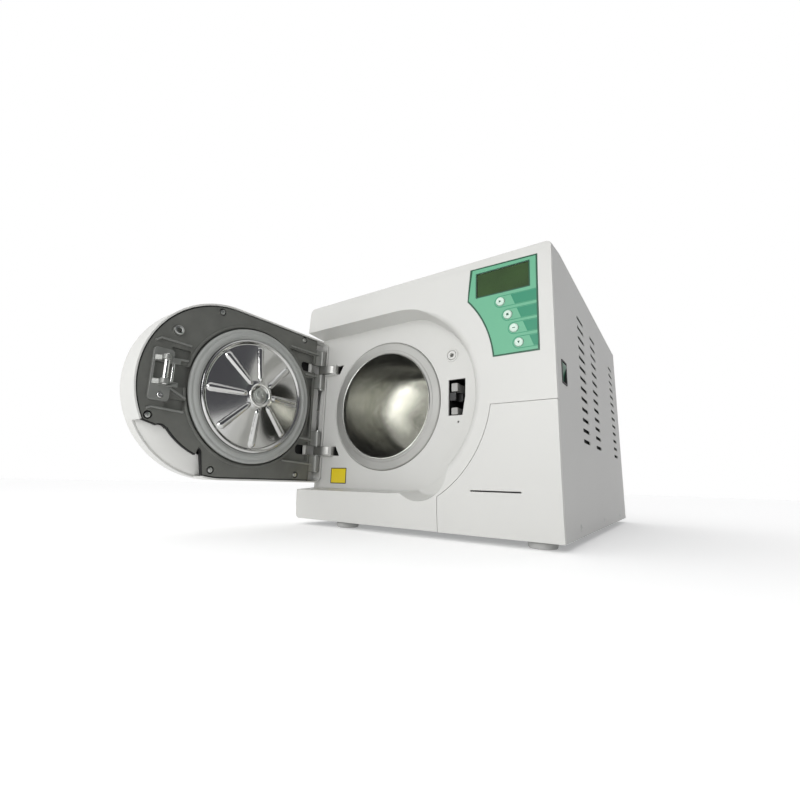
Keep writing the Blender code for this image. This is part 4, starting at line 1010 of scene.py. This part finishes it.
def build_clevis():
    base = prism([rounded(CX + 0.1305, CZ - 0.0324, CX + 0.1566, CZ + 0.0380, 0.0045)], "Y",
                 PLATE_FRONT + 0.0003, -0.0030)
    tip = (0.2965, 0.0085)
    parts = []
    for middle in (0.1844, 0.2164):
        ear = ([(0.2905, -0.0060), (0.3085, -0.0060), (0.3085, -0.0040), (0.3005, 0.0020)]
               + arc(tip, 0.0055, -10, 190, 16))
        parts.append(prism([ear], "Z", middle - 0.0034, middle + 0.0034))
        parts.append(block((0.2745, -0.0075, middle - 0.0034), (0.2960, -0.0016, middle + 0.0034)))
    base = carve(base, parts, "UNION")
    x, z = mm([(142, -25)])[0]
    holes = [prism([circle(tip, 0.0038, 24)], "Z", 0.170, 0.230),
             prism([circle((x, z), 0.0042, 24)], "Y", -0.0045, 0.01),
             prism([rounded(0.2800, 0.1890, 0.3060, 0.2120, 0.0012, 3)], "Y", -0.0090, 0.01)]
    # The clevis takes the lighter cast colour: partly its own lighter tone, partly painted light.
    add("clevis", carve(base, holes), "cast_painted_lighter", "door",
        nodes=("latch_clevis",), edge=0.0007, segments=3)
    pin = drum([(0.0010, 0.1800), (0.0030, 0.1802), (0.0035, 0.1808), (0.0035, 0.2202),
                (0.0030, 0.2208), (0.0010, 0.2210)], tip, 32, "Z")
    add("striker_pin", pin, "bright_steel", "door", nodes=("latch_pin",))
    head = drum([(0.0036, -0.0044), (0.0036, -0.0026), (0.0030, -0.0020), (0.0004, -0.0019)],
                (x, z), 32)
    head = carve(head, cross((x, z), 0.0020, 0.00035, -0.0028, 0.0))
    add("clevis_screw", head, "bright_steel", "door")
    rod = drum([(0.0006, CZ - 0.0080), (0.0020, CZ - 0.0076), (0.0020, CZ + 0.0236),
                (0.0006, CZ + 0.0240)], (CX + 0.1300, -0.0040), 20, "Z")
    add("stop_rod", rod, "bright_steel", "door")
    stud = [(0.0070, PLATE_FRONT + 0.0003), (0.0070, -0.0040), (0.0062, -0.0024), (0.0054, -0.0020),
            (0.0040, -0.0020), (0.0034, -0.0028), (0.0034, PLATE_FRONT + 0.0003)]
    add("lock_socket", lathe(stud[::-1], LOCK, 40), "satin_steel", "door", nodes=("lock_stud",))
    for word, sign in (("upper", 1), ("lower", -1)):
        low = CZ + min(sign * 0.0370, sign * 0.1150)
        pin = drum([(0.0020, low), (0.0034, low + 0.0010), (0.0035, low + 0.0014),
                    (0.0035, low + 0.0766), (0.0034, low + 0.0770), (0.0020, low + 0.0780)],
                   (HINGE.x, HINGE.y), 28, "Z")
        add(f"pivot_pin_{word}", pin, "satin_steel", "door", nodes=(f"hinge_pin_{word}",))


# Rear and top

def build_rear():
    lid = block((0.3025, 0.3005, TOP - 0.0012), (0.4075, 0.3915, TOP + 0.003))
    lid = carve(lid, [prism([rounded(0.340, 0.29, 0.370, 0.3045, 0.0030, 4)], "Z", TOP, TOP + 0.01)])
    add("tank_lid", lid, "moulded_white", "lid", place=CASE, nodes=("fill_lid",), edge=0.0009,
        segments=3)
    for index, (x, z) in enumerate(((0.012, 0.030), (0.433, 0.030), (0.012, 0.372),
                                    (0.433, 0.372), (0.2225, 0.372), (0.2225, 0.030))):
        head = drum([(0.0040, REAR - 0.0002), (0.0040, REAR + 0.0008), (0.0034, REAR + 0.0015),
                     (0.0004, REAR + 0.0018)], (x, z), 28)
        head = carve(head, cross((x, z), 0.0022, 0.0004, REAR + 0.0006, REAR + 0.01))
        add(f"rear_screw_{index + 1}", head, "satin_steel")
    for index, (x, z) in enumerate(((0.2375, 0.0545), (0.2485, 0.0545), (0.2430, 0.0475))):
        pin = block((x - 0.0010, 0.5300, z - 0.0020), (x + 0.0010, 0.5460, z + 0.0020))
        add(f"inlet_pin_{index + 1}", pin, "bright_steel", edge=0.0004)


def finish_nodes():
    """Procedural looks for the CAD nodes that stay, with a fine bevel on the plain ones."""
    slots = {entry["node"]: entry["material_slot"] for entry in frame["record"]["subparts"]}
    for name, node in NODES.items():
        node.data.materials.clear()
        node.data.materials.append(LOOKS[slots[name]])
    for name in ("rear_panel", "base_pan", "pressure_bridge", "front_cradle", "rear_cradle"):
        bevel = NODES[name].modifiers.new("edges", "BEVEL")
        bevel.width = 0.0003
        bevel.limit_method = "ANGLE"


build_front()
build_overlay()
build_display()
build_casing()
build_switch()
build_trim()
build_chamber()
build_latch()
build_arms()
build_shell()
build_door_plate()
build_dish()
build_clevis()
build_rear()
finish_nodes()


# Floor, light and camera

def build_stage():
    floor = bpy.data.meshes.new("floor")
    size = 6.0
    floor.from_pydata([(-size, -size, 0), (size, -size, 0), (size, size, 0), (-size, size, 0)], [],
                      [(0, 1, 2, 3)])
    ground = bpy.data.objects.new("floor", floor)
    bpy.context.scene.collection.objects.link(ground)
    paint = bpy.data.materials.new("floor")
    paint.use_nodes = True
    paint.node_tree.nodes["Principled BSDF"].inputs["Base Color"].default_value = (0.96, 0.96, 0.96, 1)
    paint.node_tree.nodes["Principled BSDF"].inputs["Roughness"].default_value = 0.9
    paint.node_tree.nodes["Principled BSDF"].inputs["Emission Color"].default_value = (1, 1, 1, 1)
    paint.node_tree.nodes["Principled BSDF"].inputs["Emission Strength"].default_value = 0.22
    floor.materials.append(paint)

    world = bpy.data.worlds.new("studio")
    bpy.context.scene.world = world
    world.use_nodes = True
    tree = world.node_tree
    way = tree.nodes.new("ShaderNodeTexCoord")
    lean = tree.nodes.new("ShaderNodeVectorMath")
    lean.operation = "DOT_PRODUCT"
    lean.inputs[1].default_value = (0.97, -0.16, -0.10)
    ramp = tree.nodes.new("ShaderNodeValToRGB")
    ramp.color_ramp.interpolation = "EASE"
    ramp.color_ramp.elements[0].position = 0.04
    ramp.color_ramp.elements[0].color = (1.0, 1.0, 1.0, 1.0)
    ramp.color_ramp.elements[1].position = 0.60
    ramp.color_ramp.elements[1].color = (0.10, 0.10, 0.11, 1.0)
    tree.links.new(way.outputs["Generated"], lean.inputs[0])
    tree.links.new(lean.outputs["Value"], ramp.inputs["Fac"])
    tree.links.new(ramp.outputs["Color"], tree.nodes["Background"].inputs["Color"])
    tree.nodes["Background"].inputs["Strength"].default_value = 1.0


def area_light(name, place, target, size, power):
    data = bpy.data.lights.new(name, "AREA")
    data.shape = "RECTANGLE"
    data.size, data.size_y = size
    data.energy = power
    lamp = bpy.data.objects.new(name, data)
    lamp.location = place
    lamp.rotation_euler = (Vector(target) - Vector(place)).to_track_quat("-Z", "Y").to_euler()
    bpy.context.scene.collection.objects.link(lamp)


def build_camera():
    data = bpy.data.cameras.new("camera")
    data.lens = 18.475
    data.sensor_width = 36.0
    data.clip_start = 0.01
    camera = bpy.data.objects.new("camera", data)
    yaw, pitch, roll = 0.60107, 0.19949, 0.02807
    forward = Vector((-math.sin(yaw) * math.cos(pitch), math.cos(yaw) * math.cos(pitch),
                      math.sin(pitch)))
    level = Vector((math.cos(yaw), math.sin(yaw), 0.0))
    up = level.cross(forward)
    right = level * math.cos(roll) + up * math.sin(roll)
    top = up * math.cos(roll) - level * math.sin(roll)
    turn = Matrix((right, top, -forward)).transposed().to_4x4()
    camera.matrix_world = Matrix.Translation(ORIGIN + Vector((0.56216, -0.54898, 0.06417))) @ turn
    bpy.context.scene.collection.objects.link(camera)
    bpy.context.scene.camera = camera


build_stage()
area_light("key", (-0.5, -2.4, 0.9), (0, 0, 0.2), (2.2, 1.4), 5)
area_light("card", (0.22, -1.15, 0.45), (-0.2, -0.2, 0.2), (0.30, 0.40), 3.0)
# Inside the mouth: it gives the chamber's steel its blurred bright patch
area_light("chamber_glow", tuple(ORIGIN + Vector((CX + 0.015, 0.014, CZ))),
           tuple(ORIGIN + Vector((CX + 0.005, 0.300, CZ - 0.010))), (0.06, 0.06), 0.10)
build_camera()
bpy.context.scene.view_settings.view_transform = "Standard"
